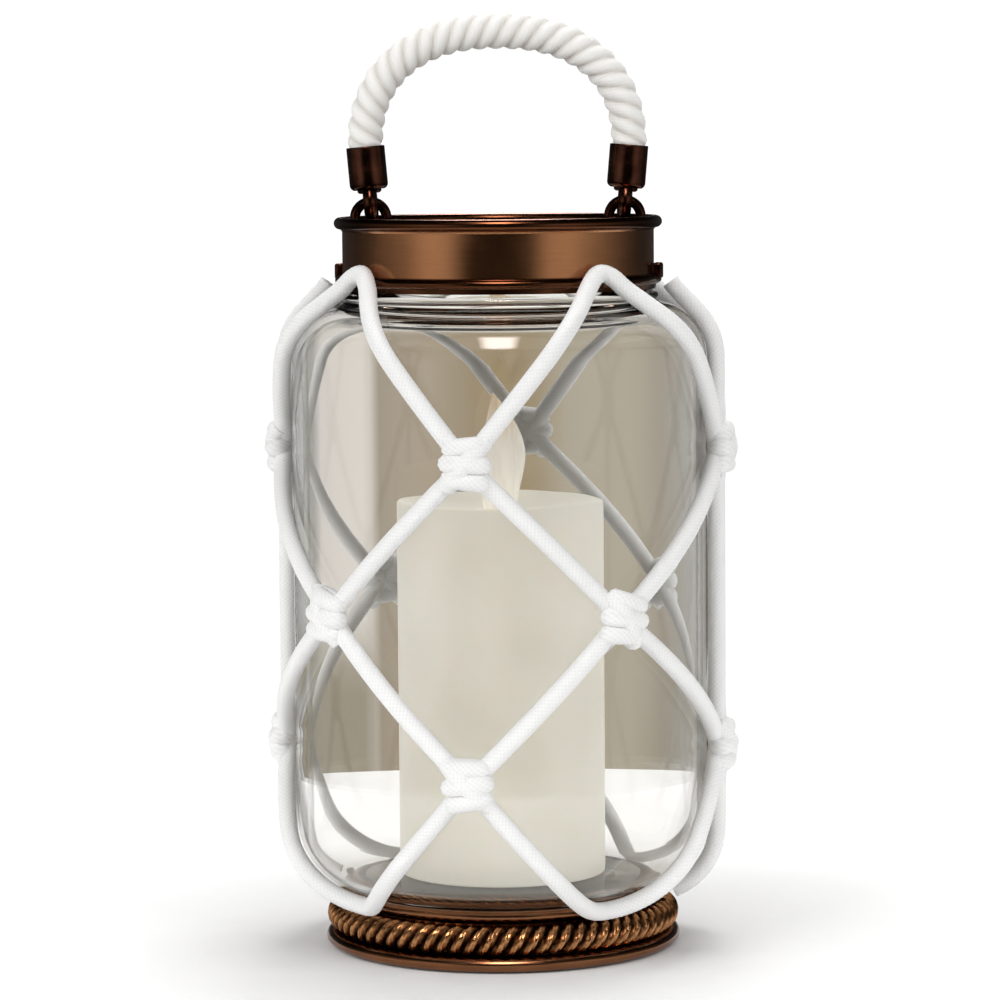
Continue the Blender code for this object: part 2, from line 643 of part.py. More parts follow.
def make_side_cord(column, word):
    """The straight cord down one side in three lengths, with a clip at its top and foot."""
    azimuth = COLUMN_AZ[column]
    upper = knot_drop("upper", column)
    lower = knot_drop("lower", column)
    top_trim = HOOK_RISE - LOWER_BEAD_H / 2
    stretches = {"top": (0.0, upper, top_trim, KNOT_CLEAR), "middle": (upper, lower, KNOT_CLEAR, KNOT_CLEAR),
                 "foot": (lower, REST_LENGTH, KNOT_CLEAR, 0.0)}
    for place_word, (start, end, start_trim, end_trim) in stretches.items():
        points = leg(azimuth, start, azimuth, end, start_trim, end_trim)
        name = f"{word}_side_cord_{place_word}"
        tube(name, points, CORD_R, white_cord(name + "_white"))
    high_clip = COLLAR_Z + LOWER_BEAD_H + GAP
    make_clip(f"{word}_collar_clip", azimuth, COLLAR_R + GAP, high_clip, high_clip + CLIP_H)
    make_clip(f"{word}_base_clip", azimuth, RING_R + GAP, RING_Z + 0.8 * MM, RING_TOP + 0.5 * MM)


def make_clip(name, azimuth, radius, low, high):
    """A small block on the metal that an end of a side cord is pinned to."""
    finish = dark_bronze(name + "_bronze")
    clip = box(name, (-CLIP_W / 2, -radius - CLIP_D, low), (CLIP_W / 2, -radius, high), finish)
    bearing = math.radians(azimuth)
    clip.location = Matrix.Rotation(bearing, 3, "Z") @ clip.location
    clip.rotation_euler.z = bearing
    bevel = clip.modifiers.new("round", "BEVEL")
    bevel.width = 1.0 * MM
    bevel.segments = 2


# ---------------------------------------------------------------- candle
def make_wax():
    """Pillar of wax, hollow from below, with a dished top and a hole for the flame."""
    inner = CANDLE_R - WAX_WALL
    dish_z = CANDLE_TOP - DISH
    roof = CANDLE_TOP - WAX_TOP
    # the dish is nearly flat in the middle and climbs to the rim
    profile = [(WICK_HOLE_R, dish_z), (CANDLE_R * 0.55, dish_z + 0.2 * DISH),
               (CANDLE_R * 0.83, dish_z + 0.7 * DISH), (CANDLE_R * 0.93, CANDLE_TOP),
               (CANDLE_R, CANDLE_TOP - 1.2 * MM), (CANDLE_R, CANDLE_Z + 0.8 * MM),
               (CANDLE_R - 0.8 * MM, CANDLE_Z), (inner, CANDLE_Z), (inner, roof), (WICK_HOLE_R, roof)]
    turned("candle_wax", profile, material("wax", (0.80, 0.75, 0.62), 0.0, 0.45), ring=True)


def make_flame():
    """Hollow flame bulb, open below, over the light that feeds it."""
    root_r = WICK_HOLE_R - GAP
    root_z = CANDLE_TOP - FLAME_ROOT
    belly = CANDLE_TOP + 0.36 * FLAME_TIP
    tip = CANDLE_TOP + FLAME_TIP
    outer = [(0.0, tip), (FLAME_R * 0.16, tip - 1.5 * MM), (FLAME_R * 0.45, tip - 8.0 * MM),
             (FLAME_R * 0.80, tip - 15.5 * MM), (FLAME_R, belly), (FLAME_R * 0.92, belly - 5.0 * MM),
             (root_r, CANDLE_TOP + 1.0 * MM), (root_r, root_z)]
    inner = [(root_r - FLAME_WALL, root_z), (root_r - FLAME_WALL, CANDLE_TOP + 1.0 * MM),
             (FLAME_R * 0.92 - FLAME_WALL, belly - 5.0 * MM), (FLAME_R - FLAME_WALL, belly),
             (FLAME_R * 0.80 - FLAME_WALL, tip - 16.0 * MM), (FLAME_R * 0.45 - FLAME_WALL, tip - 9.0 * MM),
             (0.0, tip - 3.5 * MM)]
    turned("flame_bulb", outer + inner, material("flame", (0.85, 0.68, 0.42), 0.0, 0.1), sides=SMALL_SIDES)
    led_top = CANDLE_TOP + 3.0 * MM
    led_z = BOARD_Z + BOARD_T + GAP
    led = [(0.0, led_top), (LED_R * 0.7, led_top - 0.3 * LED_R), (LED_R, led_top - LED_R),
           (LED_R, led_z), (0.0, led_z)]
    turned("led_stem", led, material("led", (0.9, 0.85, 0.7), 0.0, 0.3), sides=SMALL_SIDES)


CANDLE_BASE_Z = CANDLE_Z + CANDLE_BASE_LIFT
CANDLE_BASE_TOP = CANDLE_BASE_Z + CANDLE_BASE_T
CELL_HALF_X = 2 * CELL_R + 2 * GAP
CELL_HALF_Y = CELL_R + 2 * GAP
CORE_Z = CANDLE_BASE_TOP + GAP
CELL_Z = CANDLE_BASE_Z + DOOR_T + 2 * GAP
CONTACT_Z = CELL_Z + CELL_H + GAP
CORE_ROOF = CONTACT_Z + CONTACT_T + GAP
BOARD_Z = CORE_ROOF + CORE_WALL + GAP


def make_candle_base():
    """Plug under the wax: opening and recess for the door, slot for the switch."""
    finish = material("candle_plastic", (0.75, 0.72, 0.64), 0.0, 0.5)
    plug = cylinder("candle_base", CANDLE_R - WAX_WALL - GAP, CANDLE_BASE_Z, CANDLE_BASE_TOP, finish, BIG_SIDES)
    door_x = CELL_HALF_X + DOOR_END
    door_y = CELL_HALF_Y + 1.2 * MM
    deep = CANDLE_BASE_Z - 3 * MM
    tools = [box("cell_opening", (-CELL_HALF_X, -CELL_HALF_Y, deep),
                 (CELL_HALF_X, CELL_HALF_Y, CANDLE_BASE_TOP + 3 * MM), finish),
             box("door_recess", (-door_x, -door_y, deep), (door_x, door_y, CANDLE_BASE_Z + DOOR_T + GAP), finish)]
    slot_x = (SWITCH_W + SWITCH_TRAVEL) / 2 + GAP
    slot_y = SWITCH_D / 2 + GAP
    tools.append(box("switch_slot", (-slot_x, SWITCH_Y - slot_y, deep),
                     (slot_x, SWITCH_Y + slot_y, CANDLE_BASE_TOP + 3 * MM), finish))
    screw_x = CELL_HALF_X + DOOR_END / 2
    screw_top = CANDLE_BASE_TOP - 0.8 * MM
    tools.append(cylinder("screw_bore", SCREW_R + GAP, deep, screw_top + GAP, finish, centre=(screw_x, 0.0)))
    for tool in tools:
        combine(plug, tool, "DIFFERENCE")
    door = box("battery_door", (-door_x + GAP, -door_y + GAP, CANDLE_BASE_Z),
               (door_x - GAP, door_y - GAP, CANDLE_BASE_Z + DOOR_T), finish)
    hole = cylinder("door_hole", SCREW_R + GAP, deep, CANDLE_BASE_TOP, finish, centre=(screw_x, 0.0))
    combine(door, hole, "DIFFERENCE")
    steel = material("screw_steel", (0.5, 0.5, 0.5), 1.0, 0.3)
    head_top = CANDLE_BASE_Z - GAP
    head_low = head_top - 0.8 * MM
    screw = cylinder("door_screw", SCREW_HEAD_R, head_low, head_top, steel, centre=(screw_x, 0.0))
    shank = cylinder("screw_shank", SCREW_R, head_top - JOIN, screw_top, steel, centre=(screw_x, 0.0))
    combine(screw, shank, "UNION")


def make_switch():
    """Slide switch: a knob in the slot under a wider plate, at the left end of its travel."""
    finish = material("switch_plastic", (0.06, 0.06, 0.06), 0.0, 0.4)
    middle = -SWITCH_TRAVEL / 2
    half_x = SWITCH_W / 2
    half_y = SWITCH_D / 2
    over = CANDLE_BASE_TOP + GAP
    knob = box("power_switch", (middle - half_x, SWITCH_Y - half_y, CANDLE_BASE_Z - 0.6 * MM),
               (middle + half_x, SWITCH_Y + half_y, over + JOIN), finish)
    wide_x = half_x + SWITCH_TRAVEL
    plate = box("switch_plate", (middle - wide_x, SWITCH_Y - half_y - 1.5 * MM, over),
                (middle + wide_x, SWITCH_Y + half_y + 1.5 * MM, over + 1.2 * MM), finish)
    combine(knob, plate, "UNION")


def make_cells():
    """Battery box, two cells, their contact strip and the circuit board on top."""
    plastic = material("core_plastic", (0.7, 0.7, 0.68), 0.0, 0.5)
    core = box("battery_box", (-CELL_HALF_X - CORE_WALL, -CELL_HALF_Y - CORE_WALL, CORE_Z),
               (CELL_HALF_X + CORE_WALL, CELL_HALF_Y + CORE_WALL, CORE_ROOF + CORE_WALL), plastic)
    space = box("cell_space", (-CELL_HALF_X, -CELL_HALF_Y, CORE_Z - 3 * MM),
                (CELL_HALF_X, CELL_HALF_Y, CORE_ROOF), plastic)
    combine(core, space, "DIFFERENCE")
    for number, side in enumerate((-1, 1), start=1):
        cylinder(f"battery_{number}", CELL_R, CELL_Z, CELL_Z + CELL_H,
                 material(f"cell_{number}", (0.12, 0.13, 0.14), 0.6, 0.35), centre=(side * (CELL_R + GAP), 0.0))
    nickel = material("contact_nickel", (0.7, 0.68, 0.62), 1.0, 0.3)
    box("battery_contact", (-CELL_HALF_X + 2 * GAP, -4.0 * MM, CONTACT_Z),
        (CELL_HALF_X - 2 * GAP, 4.0 * MM, CONTACT_Z + CONTACT_T), nickel)
    box("circuit_board", (-12.0 * MM, -CELL_HALF_Y, BOARD_Z), (12.0 * MM, CELL_HALF_Y, BOARD_Z + BOARD_T),
        material("board_green", (0.03, 0.18, 0.08), 0.0, 0.5))


make_base()
make_jar()
make_collar()
for bolt_side, bolt_word in ((-1, "left"), (1, "right")):
    make_eye_bolt(bolt_side, bolt_word)
    make_ferrule(bolt_side, bolt_word)
make_handle()
make_net()
make_wax()
make_flame()
make_candle_base()
make_switch()
make_cells()
bpy.context.view_layer.update()
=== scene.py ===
import json
import math

import bpy
import numpy as np
from mathutils import Matrix, Vector


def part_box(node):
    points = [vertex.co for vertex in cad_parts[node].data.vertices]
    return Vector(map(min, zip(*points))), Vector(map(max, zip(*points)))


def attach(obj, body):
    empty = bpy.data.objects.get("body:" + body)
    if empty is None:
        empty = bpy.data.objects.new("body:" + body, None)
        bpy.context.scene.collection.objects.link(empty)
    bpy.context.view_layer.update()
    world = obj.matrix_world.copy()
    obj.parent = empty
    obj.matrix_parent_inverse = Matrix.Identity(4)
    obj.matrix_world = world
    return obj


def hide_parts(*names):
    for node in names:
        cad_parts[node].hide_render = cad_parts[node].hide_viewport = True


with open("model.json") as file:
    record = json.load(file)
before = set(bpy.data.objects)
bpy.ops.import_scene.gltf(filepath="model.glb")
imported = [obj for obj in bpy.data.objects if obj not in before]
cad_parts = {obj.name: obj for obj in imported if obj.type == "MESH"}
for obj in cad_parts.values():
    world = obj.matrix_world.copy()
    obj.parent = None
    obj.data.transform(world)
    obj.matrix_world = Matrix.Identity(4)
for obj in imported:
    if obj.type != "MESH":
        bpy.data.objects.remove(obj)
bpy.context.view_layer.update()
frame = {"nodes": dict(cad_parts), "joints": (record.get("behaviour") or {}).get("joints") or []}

MM = 0.001
MERGE = 0.00001            # points nearer than this are one
ROUND_STEPS = 128          # facets round a large turned piece
SMALL_STEPS = 48           # facets round a small one

# ------------------------------------------------------------------ places read from the frame
JAR_LOW, JAR_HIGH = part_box("glass_jar")
COLLAR_LOW, COLLAR_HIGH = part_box("collar")
PLATE_LOW, PLATE_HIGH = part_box("base_plate")
BAND_LOW, BAND_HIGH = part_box("rope_band")
RING_LOW, RING_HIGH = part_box("base_ring")
MOUTH_LOW, MOUTH_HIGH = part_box("mouth_plate")
WAX_LOW, WAX_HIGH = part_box("candle_wax")
FLAME_LOW, FLAME_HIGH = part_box("flame_bulb")
LEFT_EYE_LOW, LEFT_EYE_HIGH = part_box("left_eye_bolt")
HINGE = Vector(next(joint for joint in frame["joints"] if joint["name"] == "handle_swing")["pos_m"])

# ------------------------------------------------------------------ sizes the frame's boxes don't give
JAR_R = JAR_HIGH.x
JAR_WALL = 4.0 * MM
HEEL_R = 22.0 * MM
SHOULDER_R = 20.0 * MM
JAR_HEIGHT = 217.6 * MM
FOOT_R = 52.5 * MM
FOOT_H = 3.6 * MM
JAR_FLOOR = 6.8 * MM
NECK_R = 55.2 * MM
GLASS_BEAD_R = 58.7 * MM
GLASS_BEAD_H = 3.6 * MM
GAP = 0.3 * MM
COLLAR_R = 56.8 * MM       # the wall between its lip and its bead
COLLAR_WALL = 1.0 * MM
LOWER_BEAD_H = 3.3 * MM
SKIRT_H = 1.7 * MM         # collar below its bead
HOOK_RISE = 7.1 * MM       # middle of a top loop above the collar's foot
PEG_R = 1.1 * MM
EYE_RING_R = 5.75 * MM
EYE_WIRE_R = 1.85 * MM
EYE_STEM_R = 2.3 * MM
LINK_RING_R = 4.95 * MM
LINK_WIRE_R = 2.5 * MM
FERRULE_R = 7.0 * MM
FERRULE_NECK_R = 4.85 * MM
FERRULE_WALL = 0.9 * MM
FERRULE_FOOT = 3.2 * MM
FERRULE_TOP = 20.2 * MM
FERRULE_SOCKET = 10.0 * MM
FERRULE_LEAN = math.radians(4.9)
PLATE_EDGE = 2.5 * MM      # radius of the base plate's round edge
BAND_WIRE_R = (BAND_HIGH.z - BAND_LOW.z) / 2
BAND_STRANDS = 3
BAND_CRESTS = 74           # strand tops counted once round the base
CLIP_W = 6.0 * MM
CLIP_D = 3.2 * MM
CORD_R = 3.3 * MM
ROPE_R = 6.65 * MM
ROPE_RISE = 41.5 * MM      # top of the arch above the ferrules' mouths
ARCH_POWER = 2.3           # 2 is an ellipse, more is squarer
FOOT_Z = JAR_LOW.z
HEEL_Z = FOOT_Z + FOOT_H
FLOOR_Z = FOOT_Z + JAR_FLOOR
SHOULDER_TOP = FOOT_Z + JAR_HEIGHT
SHOULDER_Z = SHOULDER_TOP - SHOULDER_R
COLLAR_Z = COLLAR_LOW.z
EYE_X = -(LEFT_EYE_LOW.x + LEFT_EYE_HIGH.x) / 2    # out from the middle, on either side
EYE_Z = LEFT_EYE_HIGH.z - EYE_RING_R - EYE_WIRE_R

# Net: bearings in degrees from the front, + to the right, and rows as shares of the way down
COLUMN_AZ = (-8.5, 81.5, 171.5, -98.5)
HOOK_AZ = (37.0, 127.0, -143.0, -54.0)
CROSS_AZ = (32.0, 126.5, -143.5, -49.0)
LOOP_AZ = (34.5, 126.5, -143.5, -51.0)
UPPER_SHARE = 0.297
MIDDLE_SHARE = 0.528
LOWER_SHARE = (0.764, 0.747, 0.747, 0.747)
LOOP_TURN = 22.0           # degrees up the heel where a bottom loop turns
TOP_BEND = 0.12            # roundness of a top loop's turn
BOTTOM_BEND = 0.22         # and of a bottom loop's


# ------------------------------------------------------------------ modelling helpers
def only(piece):
    """Selects one piece and makes it the active one."""
    bpy.ops.object.select_all(action="DESELECT")
    piece.select_set(True)
    bpy.context.view_layer.objects.active = piece


def named(piece, name):
    piece.name = name
    piece.data.name = name
    return piece


def spun(name, outline, steps=ROUND_STEPS, edge=40.0):
    """Spins an outline of (radius, height) points about the middle. It starts and ends on the
    axis, or its last point is its first."""
    bpy.ops.object.select_all(action="DESELECT")
    bpy.ops.mesh.primitive_plane_add(size=MM, location=(0.0, 0.0, 0.0))
    piece = named(bpy.context.active_object, name)
    bpy.ops.object.mode_set(mode="EDIT")
    bpy.ops.mesh.select_all(action="SELECT")
    bpy.ops.mesh.merge(type="CENTER")
    bpy.ops.transform.translate(value=(outline[0][0], 0.0, outline[0][1]))
    for before, after in zip(outline, outline[1:]):
        step = (after[0] - before[0], 0.0, after[1] - before[1])
        bpy.ops.mesh.extrude_region_move(TRANSFORM_OT_translate={"value": step})
    bpy.ops.mesh.select_all(action="SELECT")
    bpy.ops.mesh.spin(steps=steps, angle=2 * math.pi, center=(0.0, 0.0, 0.0), axis=(0.0, 0.0, 1.0))
    bpy.ops.mesh.select_all(action="SELECT")
    bpy.ops.mesh.remove_doubles(threshold=MERGE)
    bpy.ops.mesh.normals_make_consistent(inside=False)
    bpy.ops.object.mode_set(mode="OBJECT")
    bpy.ops.object.shade_smooth_by_angle(angle=math.radians(edge))
    return piece


def arc(centre_r, centre_z, radius, start, end, steps):
    """Points on an arc in the outline's plane; degrees from level, up positive."""
    points = []
    for step in range(steps + 1):
        angle = math.radians(start + (end - start) * step / steps)
        points.append((centre_r + radius * math.cos(angle), centre_z + radius * math.sin(angle)))
    return points


def settle(piece):
    """Puts a piece's place, turn and size into its mesh."""
    only(piece)
    bpy.ops.object.transform_apply(location=True, rotation=True, scale=True)
    return piece


def joined(name, pieces):
    """Several pieces made one."""
    only(pieces[0])
    for piece in pieces[1:]:
        piece.select_set(True)
    bpy.ops.object.join()
    return settle(named(bpy.context.active_object, name))


def wire_ring(name, centre, ring_r, wire_r, turn):
    """A closed ring of round wire, turned and placed."""
    bpy.ops.object.select_all(action="DESELECT")
    bpy.ops.mesh.primitive_torus_add(major_segments=64, minor_segments=24, major_radius=ring_r,
                                     minor_radius=wire_r)
    piece = named(bpy.context.active_object, name)
    piece.matrix_world = Matrix.Translation(centre) @ turn
    settle(piece)
    bpy.ops.object.shade_smooth()
    return piece


def rod(name, low, high, radius, rounding, steps=SMALL_STEPS):
    """A round rod between two points, its end edges bevelled."""
    bpy.ops.object.select_all(action="DESELECT")
    length = (high - low).length
    bpy.ops.mesh.primitive_cylinder_add(vertices=steps, radius=radius, depth=length)
    piece = named(bpy.context.active_object, name)
    bpy.ops.object.mode_set(mode="EDIT")
    bpy.ops.mesh.select_all(action="SELECT")
    bpy.ops.mesh.select_mode(type="EDGE")
    bpy.ops.mesh.select_all(action="DESELECT")
    bpy.ops.mesh.edges_select_sharp(sharpness=math.radians(60))
    bpy.ops.mesh.bevel(offset=rounding, segments=3)
    bpy.ops.mesh.select_mode(type="VERT")
    bpy.ops.object.mode_set(mode="OBJECT")
    direction = (high - low).to_track_quat("Z", "Y").to_matrix().to_4x4()
    piece.matrix_world = Matrix.Translation((low + high) / 2) @ direction
    settle(piece)
    bpy.ops.object.shade_smooth_by_angle(angle=math.radians(40))
    return piece


def frames_along(path, closed):
    """Tangents, normals and lengths along a path, with as little twist as can be."""
    following = np.roll(path, -1, axis=0) if closed else np.vstack([path[1:], path[-1:] * 2 - path[-2:-1]])
    before = np.roll(path, 1, axis=0) if closed else np.vstack([path[:1] * 2 - path[1:2], path[:-1]])
    tangent = following - before
    tangent /= np.linalg.norm(tangent, axis=1)[:, None]
    start = np.array((0.0, -1.0, 0.0)) if abs(tangent[0][1]) < 0.9 else np.array((1.0, 0.0, 0.0))
    normal = np.empty_like(path)
    current = start
    for number, direction in enumerate(tangent):
        current = current - direction * np.dot(current, direction)
        current = current / np.linalg.norm(current)
        normal[number] = current
    along = np.concatenate([[0.0], np.cumsum(np.linalg.norm(np.diff(path, axis=0), axis=1))])
    return tangent, normal, along


def swept(name, path, section, sides, closed=False):
    """A cord's or rope's surface along a path. The section gives, for each length along it and
    each angle round it, the radius and how high that place stands in the lay, from 0 to 1."""
    path = np.asarray(path, dtype=float)
    tangent, normal, along = frames_along(path, closed)
    side = np.cross(tangent, normal)
    angle = np.arange(sides) * 2 * np.pi / sides
    radius, crest = section(along[:, None], angle[None, :])
    ring = np.cos(angle)[None, :, None] * normal[:, None, :] + np.sin(angle)[None, :, None] * side[:, None, :]
    points = (path[:, None, :] + ring * radius[:, :, None]).reshape(-1, 3)
    rows = len(path)
    last = rows if closed else rows - 1
    here = np.arange(last)[:, None] * sides
    there = (np.arange(last)[:, None] + 1) % rows * sides
    one = np.arange(sides)[None, :]
    two = (one + 1) % sides
    faces = np.stack([here + one, here + two, there + two, there + one], axis=-1).reshape(-1, 4).tolist()
    if not closed:
        faces.append(list(range(sides - 1, -1, -1)))
        faces.append(list(range((rows - 1) * sides, rows * sides)))
    mesh = bpy.data.meshes.new(name)
    mesh.from_pydata(points.tolist(), [], faces)
    height = mesh.attributes.new("crest", "FLOAT", "POINT")
    height.data.foreach_set("value", np.broadcast_to(crest, radius.shape).astype(np.float32).ravel())
    mesh.shade_smooth()
    piece = bpy.data.objects.new(name, mesh)
    bpy.context.scene.collection.objects.link(piece)
    return piece


def even_steps(path, step, closed=False):
    """The path with its points set the same short step apart."""
    path = np.asarray(path, dtype=float)
    if closed:
        path = np.vstack([path, path[:1]])
    along = np.concatenate([[0.0], np.cumsum(np.linalg.norm(np.diff(path, axis=0), axis=1))])
    count = max(8, int(round(along[-1] / step)))
    wanted = np.linspace(0.0, along[-1], count + 1)
    spread = np.stack([np.interp(wanted, along, path[:, axis]) for axis in range(3)], axis=1)
    return spread[:-1] if closed else spread


def softened(path, passes):
    """The path with its corners rounded, its ends kept."""
    path = np.asarray(path, dtype=float).copy()
    for _ in range(passes):
        path[1:-1] = (path[:-2] + 2 * path[1:-1] + path[2:]) / 4
    return path


# ------------------------------------------------------------------ material helpers
def placed(tree, kind, inputs, settings):
    """A new node with its settings, each input linked if it is given a socket and set if a value."""
    made = tree.nodes.new(kind)
    for name, value in settings.items():
        setattr(made, name, value)
    for socket, value in dict(inputs).items():
        if hasattr(value, "is_output"):
            tree.links.new(value, made.inputs[socket])
        else:
            made.inputs[socket].default_value = value
    return made


class Finish:
    """A material under way: its node tree, its shader and the object's own coordinates."""

    def __init__(self, name):
        self.material = bpy.data.materials.new(name)
        self.material.use_nodes = True
        self.tree = self.material.node_tree
        self.shader = self.tree.nodes["Principled BSDF"]
        self.place = self.tree.nodes.new("ShaderNodeTexCoord").outputs["Object"]

    def set(self, **values):
        for name, value in values.items():
            self.shader.inputs[name.replace("_", " ")].default_value = value
        return self

    def node(self, kind, inputs=(), **settings):
        return placed(self.tree, kind, inputs, settings)

    def stretched(self, scale):
        return self.node("ShaderNodeMapping", {"Vector": self.place, "Scale": scale}).outputs["Vector"]

    def noise(self, scale, detail=4.0, where=None, rough=0.5):
        inputs = {"Vector": where or self.place, "Scale": scale, "Detail": detail, "Roughness": rough}
        return self.node("ShaderNodeTexNoise", inputs).outputs["Fac"]

    def between(self, value, low, high, to_low, to_high):
        inputs = {"Value": value, "From Min": low, "From Max": high, "To Min": to_low, "To Max": to_high}
        return self.node("ShaderNodeMapRange", inputs).outputs["Result"]

    def colours(self, value, *stops):
        ramp = self.node("ShaderNodeValToRGB", {"Fac": value})
        elements = ramp.color_ramp.elements
        while len(elements) < len(stops):
            elements.new(0.5)
        for element, (position, colour) in zip(elements, stops):
            element.position = position
            element.color = (*colour, 1.0)
        return ramp.outputs["Color"]

    def attribute(self, name):
        return self.node("ShaderNodeAttribute", attribute_name=name).outputs["Fac"]

    def times(self, one, two):
        return self.node("ShaderNodeMath", {0: one, 1: two}, operation="MULTIPLY").outputs["Value"]

    def plus(self, one, two):
        return self.node("ShaderNodeMath", {0: one, 1: two}, operation="ADD").outputs["Value"]

    def feed(self, name, value):
        self.tree.links.new(value, self.shader.inputs[name])
        return self

    def bump(self, height, strength, distance):
        inputs = {"Height": height, "Strength": strength, "Distance": distance}
        return self.feed("Normal", self.node("ShaderNodeBump", inputs).outputs["Normal"])


def jar_glass():
    """Clear pressed glass with a light smoke tint and a faint waver. Lamps shine through it."""
    finish = Finish("jar_glass")
    finish.set(Roughness=0.0, IOR=1.47, Transmission_Weight=1.0)
    haze = finish.noise(9.0, 2.0)
    tint = finish.colours(haze, (0.3, (0.965, 0.960, 0.945)), (0.7, (0.950, 0.945, 0.925)))
    finish.feed("Base Color", tint)
    clear = finish.node("ShaderNodeBsdfTransparent", {"Color": (0.72, 0.71, 0.695, 1.0)})
    path = finish.node("ShaderNodeLightPath")
    mix = finish.node("ShaderNodeMixShader", {0: path.outputs["Is Shadow Ray"], 1: finish.shader.outputs[0],
                                              2: clear.outputs[0]})
    output = finish.tree.nodes["Material Output"]
    finish.tree.links.new(mix.outputs[0], output.inputs["Surface"])
    return finish.material


def brushed_bronze(name, dark, light, roughness, lines=1.0, unpainted_heights=None):
    """Antique bronze with fine lines round the piece and a patchy patina. Outside the unpainted heights its
    colour is painted nearly black, a painted dark reflection on the rolled lip and bead."""
    finish = Finish(name)
    finish.set(Metallic=1.0, Anisotropic=0.35)
    brush = finish.noise(1.0, 6.0, finish.stretched((60.0, 60.0, 4500.0)), 0.7)
    patina = finish.noise(55.0, 5.0)
    both = finish.plus(finish.times(brush, 0.45), finish.times(patina, 0.55))
    colour = finish.colours(both, (0.32, dark), (0.68, light))
    if unpainted_heights:
        # Painted dark reflection: above and below these heights the colour is painted nearly black
        height = finish.node("ShaderNodeSeparateXYZ", {"Vector": finish.place}).outputs["Z"]
        above = finish.between(height, unpainted_heights[0] - 0.3 * MM, unpainted_heights[0] + 0.3 * MM, 0.0, 1.0)
        below = finish.between(height, unpainted_heights[1] - 0.3 * MM, unpainted_heights[1] + 0.3 * MM, 1.0, 0.0)
        painted_dark = (dark[0] * 0.32, dark[1] * 0.28, dark[2] * 0.28, 1.0)
        colour = finish.node("ShaderNodeMixRGB", {"Fac": finish.times(above, below), "Color1": painted_dark,
                                                  "Color2": colour}).outputs["Color"]
    finish.feed("Base Color", colour)
    finish.feed("Roughness", finish.between(both, 0.3, 0.7, roughness - 0.06, roughness + 0.08))
    return finish.bump(brush, 0.12 * lines, 0.1 * MM).material


def cast_bronze():
    """Cast rope moulding: dark in the lay, rubbed bright on the crests."""
    finish = Finish("rope_moulding_bronze")
    finish.set(Metallic=1.0)
    crest = finish.attribute("crest")
    grit = finish.noise(700.0, 4.0)
    worn = finish.plus(crest, finish.between(grit, 0.3, 0.7, -0.12, 0.12))
    metal = finish.colours(worn, (0.25, (0.010, 0.005, 0.003)), (0.60, (0.17, 0.070, 0.028)),
                           (0.95, (0.56, 0.27, 0.11)))
    finish.feed("Base Color", metal)
    finish.feed("Roughness", finish.between(worn, 0.2, 0.9, 0.50, 0.26))
    return finish.bump(grit, 0.15, 0.1 * MM).material


def dark_bronze():
    """Oil-rubbed bronze of the handle's fittings."""
    finish = Finish("oil_rubbed_bronze")
    finish.set(Metallic=1.0)
    rub = finish.noise(160.0, 6.0)
    metal = finish.colours(rub, (0.35, (0.035, 0.013, 0.008)), (0.70, (0.110, 0.042, 0.025)))
    finish.feed("Base Color", metal)
    finish.feed("Roughness", finish.between(rub, 0.3, 0.7, 0.17, 0.30))
    return finish.bump(rub, 0.04, 0.1 * MM).material


def cotton(name, shade, bright, thread_scale):
    """White cotton: fuzzy, with painted shade that makes it a little darker down in the lay."""
    finish = Finish(name)
    finish.set(Sheen_Weight=0.25, Sheen_Roughness=0.6, IOR=1.4)
    fuzz = finish.noise(thread_scale, 6.0, rough=0.7)
    crest = finish.attribute("crest")
    tone = finish.plus(finish.times(crest, 0.75), finish.times(fuzz, 0.25))
    # Painted shade: the tone falls to the shade colour where the surface lies low in the lay
    finish.feed("Base Color", finish.colours(tone, (0.05, shade), (0.75, bright)))
    finish.feed("Roughness", finish.between(fuzz, 0.3, 0.7, 0.80, 0.95))
    return finish.bump(fuzz, 0.35, 0.15 * MM).material


def ivory_wax():
    """Satin wax, mottled partly in its own tone and partly with painted light and shade, a little
    see-through, with a faint painted glow.
    """
    finish = Finish("ivory_wax")
    # Painted glow: a faint emission brightens the wax, though it is no lamp
    finish.set(Subsurface_Weight=0.35, Subsurface_Scale=4.0 * MM, Subsurface_Radius=(1.0, 0.75, 0.5),
               Emission_Color=(1.0, 0.965, 0.86, 1.0), Emission_Strength=0.35)
    mottle_and_painted_shade = finish.noise(17.0, 2.0)
    # The mottle is partly the wax's own tone and partly a painted shadow of the net and a painted reflection
    finish.feed("Base Color", finish.colours(mottle_and_painted_shade, (0.38, (0.76, 0.74, 0.63)), (0.62, (0.94, 0.93, 0.87))))
    finish.feed("Roughness", finish.between(finish.noise(70.0, 4.0), 0.3, 0.7, 0.34, 0.50))
    return finish.bump(mottle_and_painted_shade, 0.25, 1.2 * MM).material


